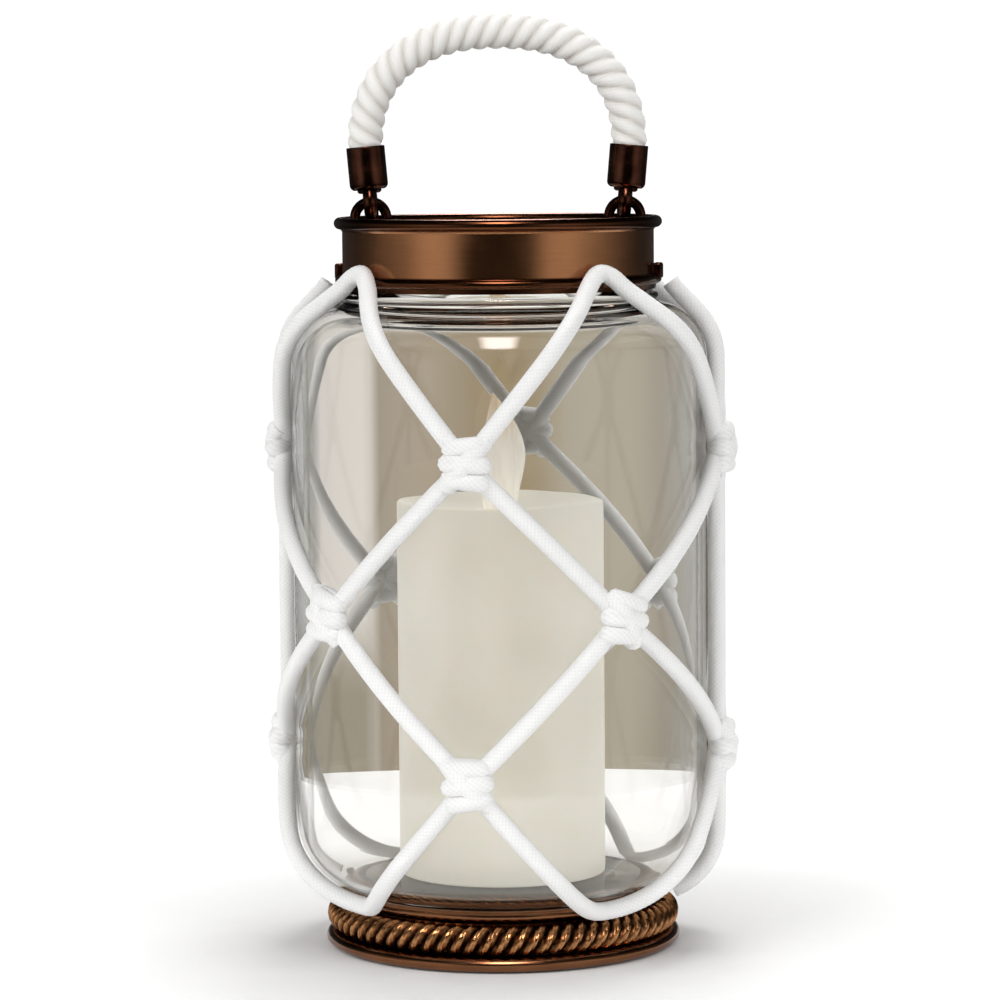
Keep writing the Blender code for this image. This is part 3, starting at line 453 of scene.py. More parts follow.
def flame_acrylic():
    """Milky clear acrylic that turns amber at its tip, with swirls moulded in it and a faint painted glow."""
    finish = Finish("flame_acrylic")
    # Painted glow: a faint emission that brightens the flame, which is not lit as a lamp
    finish.set(IOR=1.45, Emission_Color=(1.0, 0.95, 0.86, 1.0), Emission_Strength=0.22)
    height = finish.node("ShaderNodeSeparateXYZ", {"Vector": finish.place}).outputs["Z"]
    rise = finish.between(height, WAX_HIGH.z, FLAME_HIGH.z, 0.0, 1.0)
    swirl = finish.node("ShaderNodeTexWave", {"Vector": finish.stretched((1.0, 1.0, 0.35)), "Scale": 120.0,
                                              "Distortion": 9.0, "Detail": 3.0, "Detail Scale": 1.4})
    tone = finish.plus(rise, finish.between(swirl.outputs["Fac"], 0.0, 1.0, -0.07, 0.07))
    finish.feed("Base Color", finish.colours(tone, (0.0, (0.95, 0.94, 0.91)), (0.56, (0.95, 0.93, 0.89)),
                                             (0.80, (0.93, 0.76, 0.50)), (0.97, (0.86, 0.58, 0.27))))
    finish.feed("Transmission Weight", finish.between(rise, 0.45, 0.85, 0.22, 0.10))
    finish.feed("Roughness", finish.between(swirl.outputs["Fac"], 0.0, 1.0, 0.08, 0.22))
    return finish.bump(swirl.outputs["Fac"], 0.6, 0.5 * MM).material


def plain(name, low, high, roughness, scale, metallic=0.0, strength=0.1):
    """A small part's finish: two near tones, a matching roughness and a fine grain."""
    finish = Finish(name)
    finish.set(Metallic=metallic)
    grain = finish.noise(scale, 5.0)
    finish.feed("Base Color", finish.colours(grain, (0.35, low), (0.65, high)))
    finish.feed("Roughness", finish.between(grain, 0.3, 0.7, roughness - 0.05, roughness + 0.05))
    return finish.bump(grain, strength, 0.1 * MM).material


# The collar's lip and bead get a painted dark reflection outside these heights
BRONZE = brushed_bronze("collar_bronze", (0.30, 0.130, 0.058), (0.46, 0.215, 0.100), 0.20,
                        unpainted_heights=(COLLAR_LOW.z + 5.5 * MM, COLLAR_HIGH.z - 4.4 * MM))
BASE_BRONZE = brushed_bronze("base_bronze", (0.17, 0.070, 0.032), (0.28, 0.125, 0.060), 0.20, 0.5)
MOULDING = cast_bronze()
DARK_BRONZE = dark_bronze()
GLASS = jar_glass()
# The first colour of each cotton is its painted shade down in the lay
CORD = cotton("braided_cord", (0.80, 0.80, 0.795), (0.94, 0.94, 0.935), 1500.0)
ROPE = cotton("twisted_rope", (0.66, 0.62, 0.57), (0.94, 0.93, 0.90), 900.0)
WAX = ivory_wax()
FLAME = flame_acrylic()


def dress(piece, material):
    """Gives a piece its one material."""
    piece.data.materials.clear()
    piece.data.materials.append(material)
    return piece


def ready(piece, material, body, slot, *stands_for):
    """Finishes a new piece: material, the body it moves with and what it stands for. The slot argument is not
    used.
    """
    dress(piece, material)
    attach(piece, body)
    if stands_for:
        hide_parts(*stands_for)
    return piece


# ------------------------------------------------------------------ camera, floor and light
CAMERA_AWAY = 1.455        # metres from the lantern's axis, level
CAMERA_HEIGHT = 0.296      # metres over the table
CAMERA_TILT = 5.22         # degrees down
CAMERA_ROLL = -0.45        # degrees
LENS_MM = 143.4
SENSOR_MM = 36.0


def make_camera():
    lens = bpy.data.cameras.new("camera")
    lens.lens = LENS_MM
    lens.sensor_width = SENSOR_MM
    lens.clip_start = 0.05
    lens.clip_end = 50.0
    camera = bpy.data.objects.new("camera", lens)
    stand = Matrix.Translation((0.0, -CAMERA_AWAY, CAMERA_HEIGHT))
    look = Matrix.Rotation(math.radians(90.0 - CAMERA_TILT), 4, "X")
    camera.matrix_world = stand @ look @ Matrix.Rotation(math.radians(CAMERA_ROLL), 4, "Z")
    bpy.context.scene.collection.objects.link(camera)
    bpy.context.scene.camera = camera


FLOOR_R = 0.40             # past this the background shows, as white as the floor
FLOOR_RIM = 0.004
# Painted light: the floor's glow is nothing near the lantern and full far out, a painted shadow pool round
# the base
PAINTED_SHADOW_R = (0.075, 0.20)    # the floor's own glow starts and is full at these distances from the middle
PAINTED_FLOOR_GLOW = 0.27


def make_floor():
    """Round pale table top with a soft edge, white where nothing shades it; a painted glow brightens it away
    from the lantern and leaves a painted shadow round the base.
    """
    edge = arc(FLOOR_R - FLOOR_RIM, -FLOOR_RIM, FLOOR_RIM, 90, -90, 8)
    floor = spun("table_top", [(0.0, 0.0)] + edge + [(0.0, -2 * FLOOR_RIM)], steps=160)
    finish = Finish("pale_table")
    finish.set(Roughness=0.9, Specular_IOR_Level=0.1, Emission_Color=(1.0, 1.0, 1.0, 1.0))
    away = finish.node("ShaderNodeVectorMath", {0: finish.place}, operation="LENGTH").outputs["Value"]
    # Painted glow rising with distance from the middle; the unglowing middle is a painted shadow
    finish.feed("Emission Strength", finish.between(away, *PAINTED_SHADOW_R, 0.0, PAINTED_FLOOR_GLOW))
    weave = finish.noise(40.0, 4.0)
    finish.feed("Base Color", finish.colours(weave, (0.3, (0.90, 0.90, 0.90)), (0.7, (0.93, 0.93, 0.93))))
    dress(floor, finish.material)


LAMP_AWAY = 1.5            # metres from the jar's middle
JAR_MIDDLE = Vector((0.0, 0.0, 0.14))


def make_lamp(name, azimuth, elevation, width, height, watts):
    """A soft box on a bearing from the front, aimed at the jar's middle. It only lights the lantern:
    the metal and the glass mirror the sky."""
    lamp = bpy.data.lights.new(name, "AREA")
    lamp.shape = "RECTANGLE"
    lamp.size = width
    lamp.size_y = height
    lamp.energy = watts
    box = bpy.data.objects.new(name, lamp)
    bearing, rise = math.radians(azimuth), math.radians(elevation)
    away = Vector((math.sin(bearing) * math.cos(rise), -math.cos(bearing) * math.cos(rise), math.sin(rise)))
    aim = away.to_track_quat("Z", "Y").to_matrix().to_4x4()
    box.matrix_world = Matrix.Translation(JAR_MIDDLE + away * LAMP_AWAY) @ aim
    box.visible_camera = False
    box.visible_transmission = False
    box.visible_glossy = False
    bpy.context.scene.collection.objects.link(box)


# The studio round the lantern, as stops of (direction's part from -1 to 1, colour). One number is a grey.
# Seen through the glass, from left to right: a light zone, then taupe hangings, paler far out
WALL = ((-0.90, 0.75), (-0.40, (0.55, 0.55, 0.54)), (-0.22, (0.33, 0.32, 0.29)), (-0.185, (0.60, 0.57, 0.54)),
        (-0.17, (0.79, 0.74, 0.69)), (-0.071, (0.79, 0.74, 0.69)), (-0.068, (0.34, 0.285, 0.21)),
        (-0.03, (0.40, 0.33, 0.24)), (0.0, (0.36, 0.28, 0.165)), (0.012, (0.36, 0.28, 0.165)),
        (0.03, (0.42, 0.37, 0.28)), (0.07, (0.44, 0.39, 0.30)), (0.11, (0.34, 0.30, 0.235)),
        (0.20, (0.36, 0.34, 0.30)), (0.45, (0.58, 0.58, 0.57)), (0.90, 0.72))
LEFT_ZONE = ((-0.071, 1.0), (-0.068, 0.0))      # the light zone's side of the wall
LOW_ZONE = ((-0.135, 1.0), (-0.120, 0.0))       # below this the light zone is dark as well
LOW_WALL = (0.33, 0.29, 0.215, 1.0)
BEYOND = ((-1.0, 1.0), (-0.235, 1.0), (-0.205, 0.0), (0.18, 0.0), (0.34, 1.0), (1.0, 1.0))
BEYOND_TONE = (0.80, 0.78, 0.75, 1.0)           # below and above the wall
# Mirrored in the metal, from the front to the back and from below to above
LEVEL = ((-0.92, (0.04, 0.035, 0.03)), (-0.80, (0.85, 0.83, 0.80)), (-0.60, (0.95, 0.93, 0.90)),
         (-0.35, (0.50, 0.48, 0.46)), (0.0, (0.30, 0.29, 0.28)), (0.30, 0.10), (0.60, 0.05))
RISE = ((-0.9, 0.15), (-0.25, 0.45), (-0.08, 1.0), (0.12, 1.0), (0.25, 0.45), (0.45, 0.07), (0.9, 0.05))
# The bright box over the middle that puts the highlights on the rolled edges
BOX_ACROSS = ((-0.17, 0.0), (-0.09, (1.0, 0.9, 0.88)), (0.09, (1.0, 0.9, 0.88)), (0.17, 0.0))
BOX_UP = ((0.55, 0.0), (0.62, 1.0), (0.84, 1.0), (0.90, 0.0))
BOX_POWER = 22.0
DOME_POWER = 0.30
BACKGROUND_POWER = 1.05


class Sky:
    """The world's node tree under way."""

    def __init__(self, name):
        world = bpy.data.worlds.new(name)
        bpy.context.scene.world = world
        world.use_nodes = True
        self.tree = world.node_tree
        self.tree.nodes.clear()

    def node(self, kind, inputs=(), **settings):
        return placed(self.tree, kind, inputs, settings)

    def light(self, colour, strength):
        return self.node("ShaderNodeBackground", {"Color": colour, "Strength": strength}).outputs[0]

    def mixed(self, share, one, two):
        return self.node("ShaderNodeMixShader", {0: share, 1: one, 2: two}).outputs[0]

    def blended(self, share, one, two, how="MIX"):
        inputs = {"Fac": share, "Color1": one, "Color2": two}
        return self.node("ShaderNodeMixRGB", inputs, blend_type=how).outputs[0]

    def ramp(self, value, stops):
        spread = self.node("ShaderNodeMapRange", {"Value": value, "From Min": -1.0, "From Max": 1.0})
        made = self.node("ShaderNodeValToRGB", {"Fac": spread.outputs[0]})
        elements = made.color_ramp.elements
        while len(elements) < len(stops):
            elements.new(0.5)
        for element, (place, colour) in zip(elements, stops):
            element.position = (place + 1.0) / 2
            element.color = (*colour, 1.0) if isinstance(colour, tuple) else (colour, colour, colour, 1.0)
        return made.outputs[0]


def make_sky():
    """White to the eye, a taupe studio wall to what is seen through the glass, soft light to the rest."""
    sky = Sky("studio")
    direction = sky.node("ShaderNodeTexCoord").outputs["Generated"]
    across, back, up = sky.node("ShaderNodeSeparateXYZ", {"Vector": direction}).outputs
    path = sky.node("ShaderNodeLightPath")
    low_left = sky.blended(1.0, sky.ramp(up, LOW_ZONE), sky.ramp(across, LEFT_ZONE), "MULTIPLY")
    wall = sky.blended(low_left, sky.ramp(across, WALL), LOW_WALL)
    wall = sky.blended(sky.ramp(up, BEYOND), wall, BEYOND_TONE)
    depth = {0: path.outputs["Diffuse Depth"], 1: 0.5}
    first = sky.node("ShaderNodeMath", depth, operation="LESS_THAN").outputs[0]
    seen = sky.mixed(first, sky.light((0.0, 0.0, 0.0, 1.0), 0.0), sky.light(wall, 1.0))
    room = sky.blended(1.0, sky.ramp(back, LEVEL), sky.ramp(up, RISE), "MULTIPLY")
    box = sky.blended(1.0, sky.ramp(across, BOX_ACROSS), sky.ramp(up, BOX_UP), "MULTIPLY")
    both = {0: sky.light(room, 1.0), 1: sky.light(box, BOX_POWER)}
    mirrored = sky.node("ShaderNodeAddShader", both).outputs[0]
    dome = sky.light((1.0, 0.99, 0.98, 1.0), DOME_POWER)
    softly = sky.mixed(path.outputs["Is Glossy Ray"], dome, mirrored)
    through = sky.mixed(path.outputs["Is Transmission Ray"], softly, seen)
    background = sky.light((1.0, 1.0, 1.0, 1.0), BACKGROUND_POWER)
    final = sky.mixed(path.outputs["Is Camera Ray"], through, background)
    sky.node("ShaderNodeOutputWorld", {"Surface": final})


def make_studio():
    make_camera()
    bpy.context.scene.view_settings.view_transform = "Standard"
    make_floor()
    make_lamp("left_soft_box", -50.0, 26.0, 1.2, 1.2, 13.5)
    make_lamp("right_soft_box", 48.0, 24.0, 1.1, 1.2, 9.5)
    make_lamp("top_soft_box", 160.0, 68.0, 0.8, 0.8, 10.5)
    make_sky()


# ------------------------------------------------------------------ glass jar and metal
def make_jar():
    """Pressed glass jar: foot, round heel and shoulder, moulded bead and open neck."""
    middle = JAR_R - SHOULDER_R
    heel = JAR_R - HEEL_R
    meet = math.degrees(math.acos((GLASS_BEAD_R - middle) / SHOULDER_R))
    step_z = SHOULDER_Z + SHOULDER_R * math.sin(math.radians(meet))
    bead = GLASS_BEAD_H / 2
    inner_r = NECK_R - JAR_WALL
    inner_arc = SHOULDER_R - JAR_WALL
    soft = 1.2 * MM
    inside = [(0.0, FLOOR_Z)] + arc(heel, FLOOR_Z + HEEL_R - JAR_WALL, HEEL_R - JAR_WALL, -90, 0, 16)
    inside += arc(middle, SHOULDER_Z, inner_arc, 0, 84, 14)
    inside += arc(inner_r + soft, SHOULDER_Z + inner_arc + soft, soft, -100, -180, 4)
    rim = arc(NECK_R - JAR_WALL / 2, JAR_HIGH.z - JAR_WALL / 2, JAR_WALL / 2, 180, 0, 12)
    outside = [(NECK_R, step_z + GLASS_BEAD_H + soft)]
    outside += arc(GLASS_BEAD_R - bead, step_z + bead + 0.2 * MM, bead, 80, -40, 8)
    outside += arc(middle, SHOULDER_Z, SHOULDER_R, meet - 2, 0, 16)
    outside += arc(heel, HEEL_Z + HEEL_R, HEEL_R, 0, -90, 18)
    outside += arc(FOOT_R - soft, FOOT_Z + soft, soft, 0, -90, 4) + [(0.0, FOOT_Z)]
    ready(spun("jar", inside + rim + outside, edge=50.0), GLASS, "lantern", "clear_glass", "glass_jar")


def make_collar():
    """Spun collar with a rolled lip, a cove, a satin wall and a bead, and the pegs for the net."""
    inner = COLLAR_R - COLLAR_WALL
    lip = 2.15 * MM
    lip_z = COLLAR_HIGH.z - lip
    bead = 1.75 * MM
    bead_z = COLLAR_Z + SKIRT_H + bead
    outline = arc(COLLAR_HIGH.x - lip, lip_z, lip, 190, -70, 26)
    outline += [(COLLAR_R + 0.5 * MM, lip_z - 2.3 * MM), (COLLAR_R, lip_z - 3.0 * MM)]
    outline += [(COLLAR_R, bead_z + bead + 0.1 * MM)]
    outline += arc(COLLAR_R + 1.0 * MM, bead_z, bead, 100, -80, 14)
    outline += [(COLLAR_R + 0.9 * MM, COLLAR_Z + SKIRT_H), (COLLAR_R + 0.6 * MM, COLLAR_Z), (inner, COLLAR_Z),
                (inner, lip_z), outline[0]]
    collar = spun("collar_shell", outline, edge=35.0)
    peg_z = COLLAR_Z + HOOK_RISE - CORD_R - 2 * GAP - PEG_R
    for number, azimuth in enumerate(HOOK_AZ, start=1):
        peg = rod(f"net_peg_{number}", around(azimuth, COLLAR_R - COLLAR_WALL / 2, peg_z),
                  around(azimuth, COLLAR_R + 4.2 * MM, peg_z), PEG_R, 0.4 * MM, 24)
        ready(peg, DARK_BRONZE, "lantern", "dark_bronze")
    ready(collar, BRONZE, "lantern", "bronze", "collar")


def make_mouth():
    """Plate round the mouth, its edges eased, that carries the eye bolts."""
    outer = MOUTH_HIGH.x
    inner = EYE_X - EYE_RING_R - EYE_WIRE_R + 0.1 * MM
    high, low = MOUTH_HIGH.z, MOUTH_LOW.z
    ease = 0.5 * MM
    outline = arc(outer - ease, high - ease, ease, 90, 0, 4) + [(outer, low), (inner, low)]
    outline += arc(inner + ease, high - ease, ease, 180, 90, 4) + [(outer - ease, high)]
    ready(spun("mouth_ring", outline), BASE_BRONZE, "lantern", "dark_bronze", "mouth_plate")
    for word, side in (("left", -1), ("right", 1)):
        x = side * EYE_X
        upright = Matrix.Rotation(math.pi / 2, 4, "X")
        bolt = wire_ring(f"{word}_eye", (x, 0.0, EYE_Z), EYE_RING_R, EYE_WIRE_R, upright)
        low_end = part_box(f"{word}_eye_bolt")[0].z
        stem = rod(f"{word}_stem", Vector((x, 0.0, low_end)), Vector((x, 0.0, EYE_Z - EYE_RING_R + 0.4 * MM)),
                   EYE_STEM_R, 0.4 * MM)
        seat = Vector((x, 0.0, MOUTH_HIGH.z))
        seat_top = seat + Vector((0.0, 0.0, 1.2 * MM))
        collar = rod(f"{word}_shoulder", seat, seat_top, EYE_STEM_R + 1.3 * MM, 0.4 * MM)
        ready(joined(f"{word}_eye_fitting", [bolt, stem, collar]), DARK_BRONZE, "lantern", "dark_bronze",
              f"{word}_eye_bolt")


def make_base():
    """Round-edged plate under the rope moulding, and the ring that holds the glass."""
    plate_top = PLATE_LOW.z + 2 * PLATE_EDGE
    drum_r = BAND_HIGH.x - 2 * BAND_WIRE_R - GAP
    outline = [(0.0, PLATE_HIGH.z), (drum_r - 0.5 * MM, PLATE_HIGH.z), (drum_r, PLATE_HIGH.z - 0.5 * MM),
               (drum_r, plate_top + 0.6 * MM), (drum_r + 0.6 * MM, plate_top)]
    outline += arc(PLATE_HIGH.x - PLATE_EDGE, PLATE_LOW.z + PLATE_EDGE, PLATE_EDGE, 90, -90, 16)
    felt_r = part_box("felt_pad")[1].x + GAP
    felt_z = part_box("felt_pad")[1].z + GAP
    outline += [(felt_r, PLATE_LOW.z), (felt_r, felt_z), (0.0, felt_z)]
    ready(spun("base_foot", outline, edge=35.0), BASE_BRONZE, "lantern", "bronze", "base_plate")
    ring_r = RING_HIGH.x
    inner = FOOT_R + GAP
    bead = (RING_HIGH.z - RING_LOW.z) / 2
    outline = arc(ring_r - bead * 0.75, RING_LOW.z + bead, bead, 90, -90, 16)
    outline += [(inner, RING_LOW.z), (inner, RING_HIGH.z), outline[0]]
    ready(spun("glass_seat_ring", outline, edge=35.0), BASE_BRONZE, "lantern", "bronze", "base_ring")


def twisted(rope_r, strands, lead, yarns, yarn_depth, strand_share):
    """The section of a twisted rope: fat strands round a middle, each with yarns laid across it.
    A negative lead gives a left-hand lay."""
    strand_r = rope_r * strand_share
    offset = rope_r - strand_r

    def section(along, angle):
        turn = angle - 2 * np.pi * along / lead
        spread = 2 * np.pi / strands
        local = (turn + spread / 2) % spread - spread / 2
        aside = offset * np.sin(local)
        reach = offset * np.cos(local) + np.sqrt(np.maximum(strand_r ** 2 - aside ** 2, 0.0))
        meet = offset * np.sin(spread / 2)
        low = offset * np.cos(spread / 2) + np.sqrt(max(strand_r ** 2 - meet ** 2, 0.0))
        lie = np.arctan2(reach * np.sin(local), reach * np.cos(local) - offset)
        ridge = 0.5 + 0.5 * np.cos(lie * yarns + 2 * np.pi * along / abs(lead) * yarns * 0.9)
        depth = (reach - low) / (rope_r - low)
        return reach - yarn_depth * (1.0 - ridge), np.clip(depth * 0.85 + ridge * 0.15, 0.0, 1.0)

    return section


def make_moulding():
    """Cast rope laid round the base, closed on itself."""
    middle_r = BAND_HIGH.x - BAND_WIRE_R
    middle_z = (BAND_LOW.z + BAND_HIGH.z) / 2
    around_it = np.linspace(0.0, 2 * np.pi, 1600, endpoint=False)
    level = np.full_like(around_it, middle_z)
    path = np.stack([middle_r * np.sin(around_it), -middle_r * np.cos(around_it), level], axis=1)
    lead = -2 * math.pi * middle_r * BAND_STRANDS / BAND_CRESTS
    lay = twisted(BAND_WIRE_R, BAND_STRANDS, lead, 4, 0.45 * MM, 0.54)
    band = swept("rope_moulding", path, lay, 48, closed=True)
    ready(band, MOULDING, "lantern", "bronze", "rope_band")


# ------------------------------------------------------------------ net
def around(azimuth, radius, height):
    """A point by its bearing from the front in degrees, its radius and its height."""
    bearing = math.radians(azimuth)
    return Vector((radius * math.sin(bearing), -radius * math.cos(bearing), height))


def rest_line():
    """Where a cord's middle lies on the jar from the heel to the collar, as (radius, height)."""
    off = GAP + CORD_R
    heel = arc(JAR_R - HEEL_R, HEEL_Z + HEEL_R, HEEL_R + off, LOOP_TURN - 90, 0, 24)
    bead = (COLLAR_HIGH.x + off, COLLAR_Z + LOWER_BEAD_H / 2)
    centre = (JAR_R - SHOULDER_R, SHOULDER_Z)
    reach = math.dist(bead, centre)
    bearing = math.degrees(math.atan2(bead[1] - centre[1], bead[0] - centre[0]))
    leave = bearing - math.degrees(math.acos(min(1.0, (SHOULDER_R + off) / reach)))
    shoulder = arc(*centre, SHOULDER_R + off, 0, leave, 24)
    wall = (COLLAR_R + off, COLLAR_Z + HOOK_RISE)
    over = [bead, ((bead[0] + wall[0]) / 2 + 0.45 * MM, (bead[1] + wall[1]) / 2 + 0.2 * MM), wall]
    return np.array(heel + shoulder + over)


REST = rest_line()
REST_AT = np.concatenate([[0.0], np.cumsum(np.linalg.norm(np.diff(REST, axis=0), axis=1))])
REST_LENGTH = REST_AT[-1]


def rest_points(azimuths, drops):
    """Points on the jar at bearings and at lengths down its side from the tops."""
    want = REST_LENGTH - np.asarray(drops)
    radius = np.interp(want, REST_AT, REST[:, 0])
    height = np.interp(want, REST_AT, REST[:, 1])
    bearing = np.radians(np.asarray(azimuths))
    return np.stack([radius * np.sin(bearing), -radius * np.cos(bearing), height], axis=1)


def braid(depth=0.28 * MM, strands=10, rib=1.7 * MM):
    """The section of a round braid: two sets of strands that pass over and under each other."""
    def section(along, angle):
        one = strands / 2 * angle + np.pi * along / rib
        two = strands / 2 * angle - np.pi * along / rib
        over = 0.5 + 0.5 * np.tanh(2.2 * np.cos(one) * np.cos(two))
        height = np.cos(one) ** 2 * over + np.cos(two) ** 2 * (1.0 - over)
        height = height ** 0.7
        return CORD_R - depth * (1.0 - height), height
    return section


BRAID = braid()
CORD_STEP = 0.4 * MM
CORD_SIDES = 40


def cord(name, points, stands_for=(), soften=40):
    """One length of braided cord along the points."""
    path = softened(even_steps(points, CORD_STEP), soften)
    piece = swept(name, even_steps(path, CORD_STEP), BRAID, CORD_SIDES)
    return ready(piece, CORD, "lantern", "white_cord", *stands_for)


def shorter_way(start, end):
    return (end - start + 180.0) % 360.0 - 180.0


def pull(start_az, start_drop, end_az, end_drop):
    """A straight pull of cord over the jar between two knots."""
    share = np.linspace(0.0, 1.0, 120)
    return rest_points(start_az + shorter_way(start_az, end_az) * share,
                       start_drop + (end_drop - start_drop) * share)


def loop(apex_az, apex_drop, left_az, right_az, left_drop, right_drop, bend):
    """A cord from one knot round an apex to the next knot."""
    share = np.linspace(-1.0, 1.0, 401)
    full = math.sqrt(1.0 + bend ** 2) - bend
    fall = (np.sqrt(share ** 2 + bend ** 2) - bend) / full
    turn = np.where(share < 0, shorter_way(apex_az, left_az), shorter_way(apex_az, right_az))
    far = np.where(share < 0, left_drop, right_drop)
    return rest_points(apex_az + turn * np.abs(share), apex_drop + (far - apex_drop) * fall)


# Turns of a knot, in millimetres and degrees: (how far up, half width, tilt, how far out)
KNOT_WRAPS = ((6.2, 5.2, 6.0, 3.6), (-5.6, 5.6, -7.0, 3.8), (0.2, 6.3, -3.0, 4.6))
# The strand that crosses over the wraps: (across, up, out)
KNOT_CROSSING = ((-6.8, 7.8, 0.4), (-4.4, 5.0, 3.2), (-1.6, 2.0, 4.5), (1.4, -1.8, 4.6), (4.0, -4.8, 3.4),
                 (6.2, -7.6, 0.4))


def knot(name, azimuth, drop, turned_by, mirror, stands_for):
    """A knot of the same cord: wraps laid round the crossing, and a strand that goes over them."""
    spot = Vector(rest_points([azimuth], [drop])[0])
    stand = Matrix.Translation(spot) @ Matrix.Rotation(math.radians(azimuth), 4, "Z") @ Matrix.Rotation(
        math.radians(turned_by), 4, "Y")
    lap = np.linspace(0.0, 2 * np.pi, 120, endpoint=False)
    pieces = []
    for number, (up, half_width, tilt, out) in enumerate(KNOT_WRAPS, start=1):
        flat = np.stack([half_width * np.cos(lap), out / 2 * (np.sin(lap) - 1.0), np.zeros_like(lap)], axis=1)
        lean = Matrix.Translation((0.0, 0.0, up * MM)) @ Matrix.Rotation(math.radians(tilt * mirror), 4, "Y")
        path = even_steps([stand @ lean @ Vector(point * MM) for point in flat], CORD_STEP, closed=True)
        pieces.append(swept(f"{name}_wrap_{number}", path, BRAID, CORD_SIDES, True))
    over = [stand @ Vector((across * mirror * MM, -out * MM, up * MM)) for across, up, out in KNOT_CROSSING]
    path = softened(even_steps(over, CORD_STEP), 40)
    pieces.append(swept(f"{name}_crossing", path, BRAID, CORD_SIDES))
    ready(joined(name, pieces), CORD, "lantern", "white_cord", stands_for)


def make_net():
    """Knots in three rows, the pulls between them, and the loops that hold them top and bottom."""
    for column in range(4):
        after = (column + 1) % 4
        before = (column - 1) % 4
        number = column + 1
        here, there = COLUMN_AZ[column], COLUMN_AZ[after]
        upper, middle = REST_LENGTH * UPPER_SHARE, REST_LENGTH * MIDDLE_SHARE
        lower = [REST_LENGTH * share for share in LOWER_SHARE]
        top = loop(HOOK_AZ[column], 0.0, here, there, upper, upper, TOP_BEND)
        cord(f"top_loop_{number}", top, (f"net_top_loop_{number}",))
        bottom = loop(LOOP_AZ[column], REST_LENGTH, here, there, lower[column], lower[after], BOTTOM_BEND)
        cord(f"bottom_loop_{number}", bottom, (f"net_bottom_loop_{number}",))
        for side, word in ((before, "left"), (column, "right")):
            cord(f"upper_pull_{number}_{word}", pull(here, upper, CROSS_AZ[side], middle))
        for side, word in ((column, "left"), (after, "right")):
            cord(f"lower_pull_{number}_{word}", pull(CROSS_AZ[column], middle, COLUMN_AZ[side], lower[side]))
        knot(f"upper_knot_{number}", here, upper, 0.0, -1.0, f"net_upper_knot_{number}")
        knot(f"middle_knot_{number}", CROSS_AZ[column], middle, 12.0, 1.0, f"net_middle_knot_{number}")
        knot(f"lower_knot_{number}", here, lower[column], -4.0, 1.0, f"net_lower_knot_{number}")
    for column, word in ((1, "right"), (3, "left")):
        azimuth = COLUMN_AZ[column]
        top_end = HOOK_RISE - LOWER_BEAD_H / 2
        stretches = tuple(f"{word}_side_cord_{part}" for part in ("top", "middle", "foot"))
        cord(f"{word}_side_cord", pull(azimuth, top_end, azimuth, REST_LENGTH), stretches)
        make_clip(f"{word}_collar_clip", azimuth)
        make_clip(f"{word}_base_clip", azimuth)


def make_clip(node, azimuth):
    """A folded metal clip that pins an end of a side cord."""
    low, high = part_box(node)
    radius = math.hypot((low.x + high.x) / 2, (low.y + high.y) / 2)
    bpy.ops.object.select_all(action="DESELECT")
    bpy.ops.mesh.primitive_cube_add(size=1.0)
    piece = named(bpy.context.active_object, node + "_folded")
    piece.scale = (CLIP_W, CLIP_D, high.z - low.z)
    settle(piece)
    bpy.ops.object.mode_set(mode="EDIT")
    bpy.ops.mesh.select_all(action="SELECT")
    bpy.ops.mesh.bevel(offset=0.9 * MM, segments=4)
    bpy.ops.object.mode_set(mode="OBJECT")
    piece.matrix_world = Matrix.Translation(around(azimuth, radius, (low.z + high.z) / 2)) @ Matrix.Rotation(
        math.radians(azimuth), 4, "Z")
    settle(piece)
    bpy.ops.object.shade_smooth_by_angle(angle=math.radians(35))
    ready(piece, DARK_BRONZE, "lantern", "dark_bronze", node)


# ------------------------------------------------------------------ handle
def make_handle():
    """Three-strand rope laid left-handed in an arch, with its ends in turned ferrules."""
    foot_x = EYE_X + math.sin(FERRULE_LEAN) * FERRULE_TOP
    foot_z = HINGE.z + math.cos(FERRULE_LEAN) * FERRULE_TOP
    lap = np.linspace(0.0, np.pi, 400)
    power = 2 / ARCH_POWER
    arch = np.stack([-foot_x * np.sign(np.cos(lap)) * np.abs(np.cos(lap)) ** power, np.zeros_like(lap),
                     foot_z + ROPE_RISE * np.abs(np.sin(lap)) ** power], axis=1)
    tuck = FERRULE_SOCKET - GAP
    lean = np.array((math.sin(FERRULE_LEAN), 0.0, math.cos(FERRULE_LEAN)))
    left = arch[0] + np.array((lean[0], 0.0, -lean[2])) * tuck
    right = arch[-1] + np.array((-lean[0], 0.0, -lean[2])) * tuck
    path = softened(even_steps(np.vstack([left, arch, right]), 0.4 * MM), 60)
    path = even_steps(path, 0.4 * MM)
    lay = twisted(ROPE_R, 3, -18.5 * MM, 7, 0.24 * MM, 0.73)
    total = 0.4 * MM * len(path)
    snug = FERRULE_R - FERRULE_WALL - GAP

    def tucked(along, angle):
        """The lay, squeezed where the ferrules hold it."""
        radius, crest = lay(along, angle)
        inside = np.minimum(along, total - along)
        open_share = np.clip((inside - tuck) / (1.6 * MM), 0.0, 1.0)
        return np.minimum(radius, snug + (ROPE_R - snug) * open_share), crest

    ready(swept("grip_rope", path, tucked, 120), ROPE, "handle", "white_rope", "handle_rope")
    for word, side in (("left", -1), ("right", 1)):
        make_ferrule(word, side)


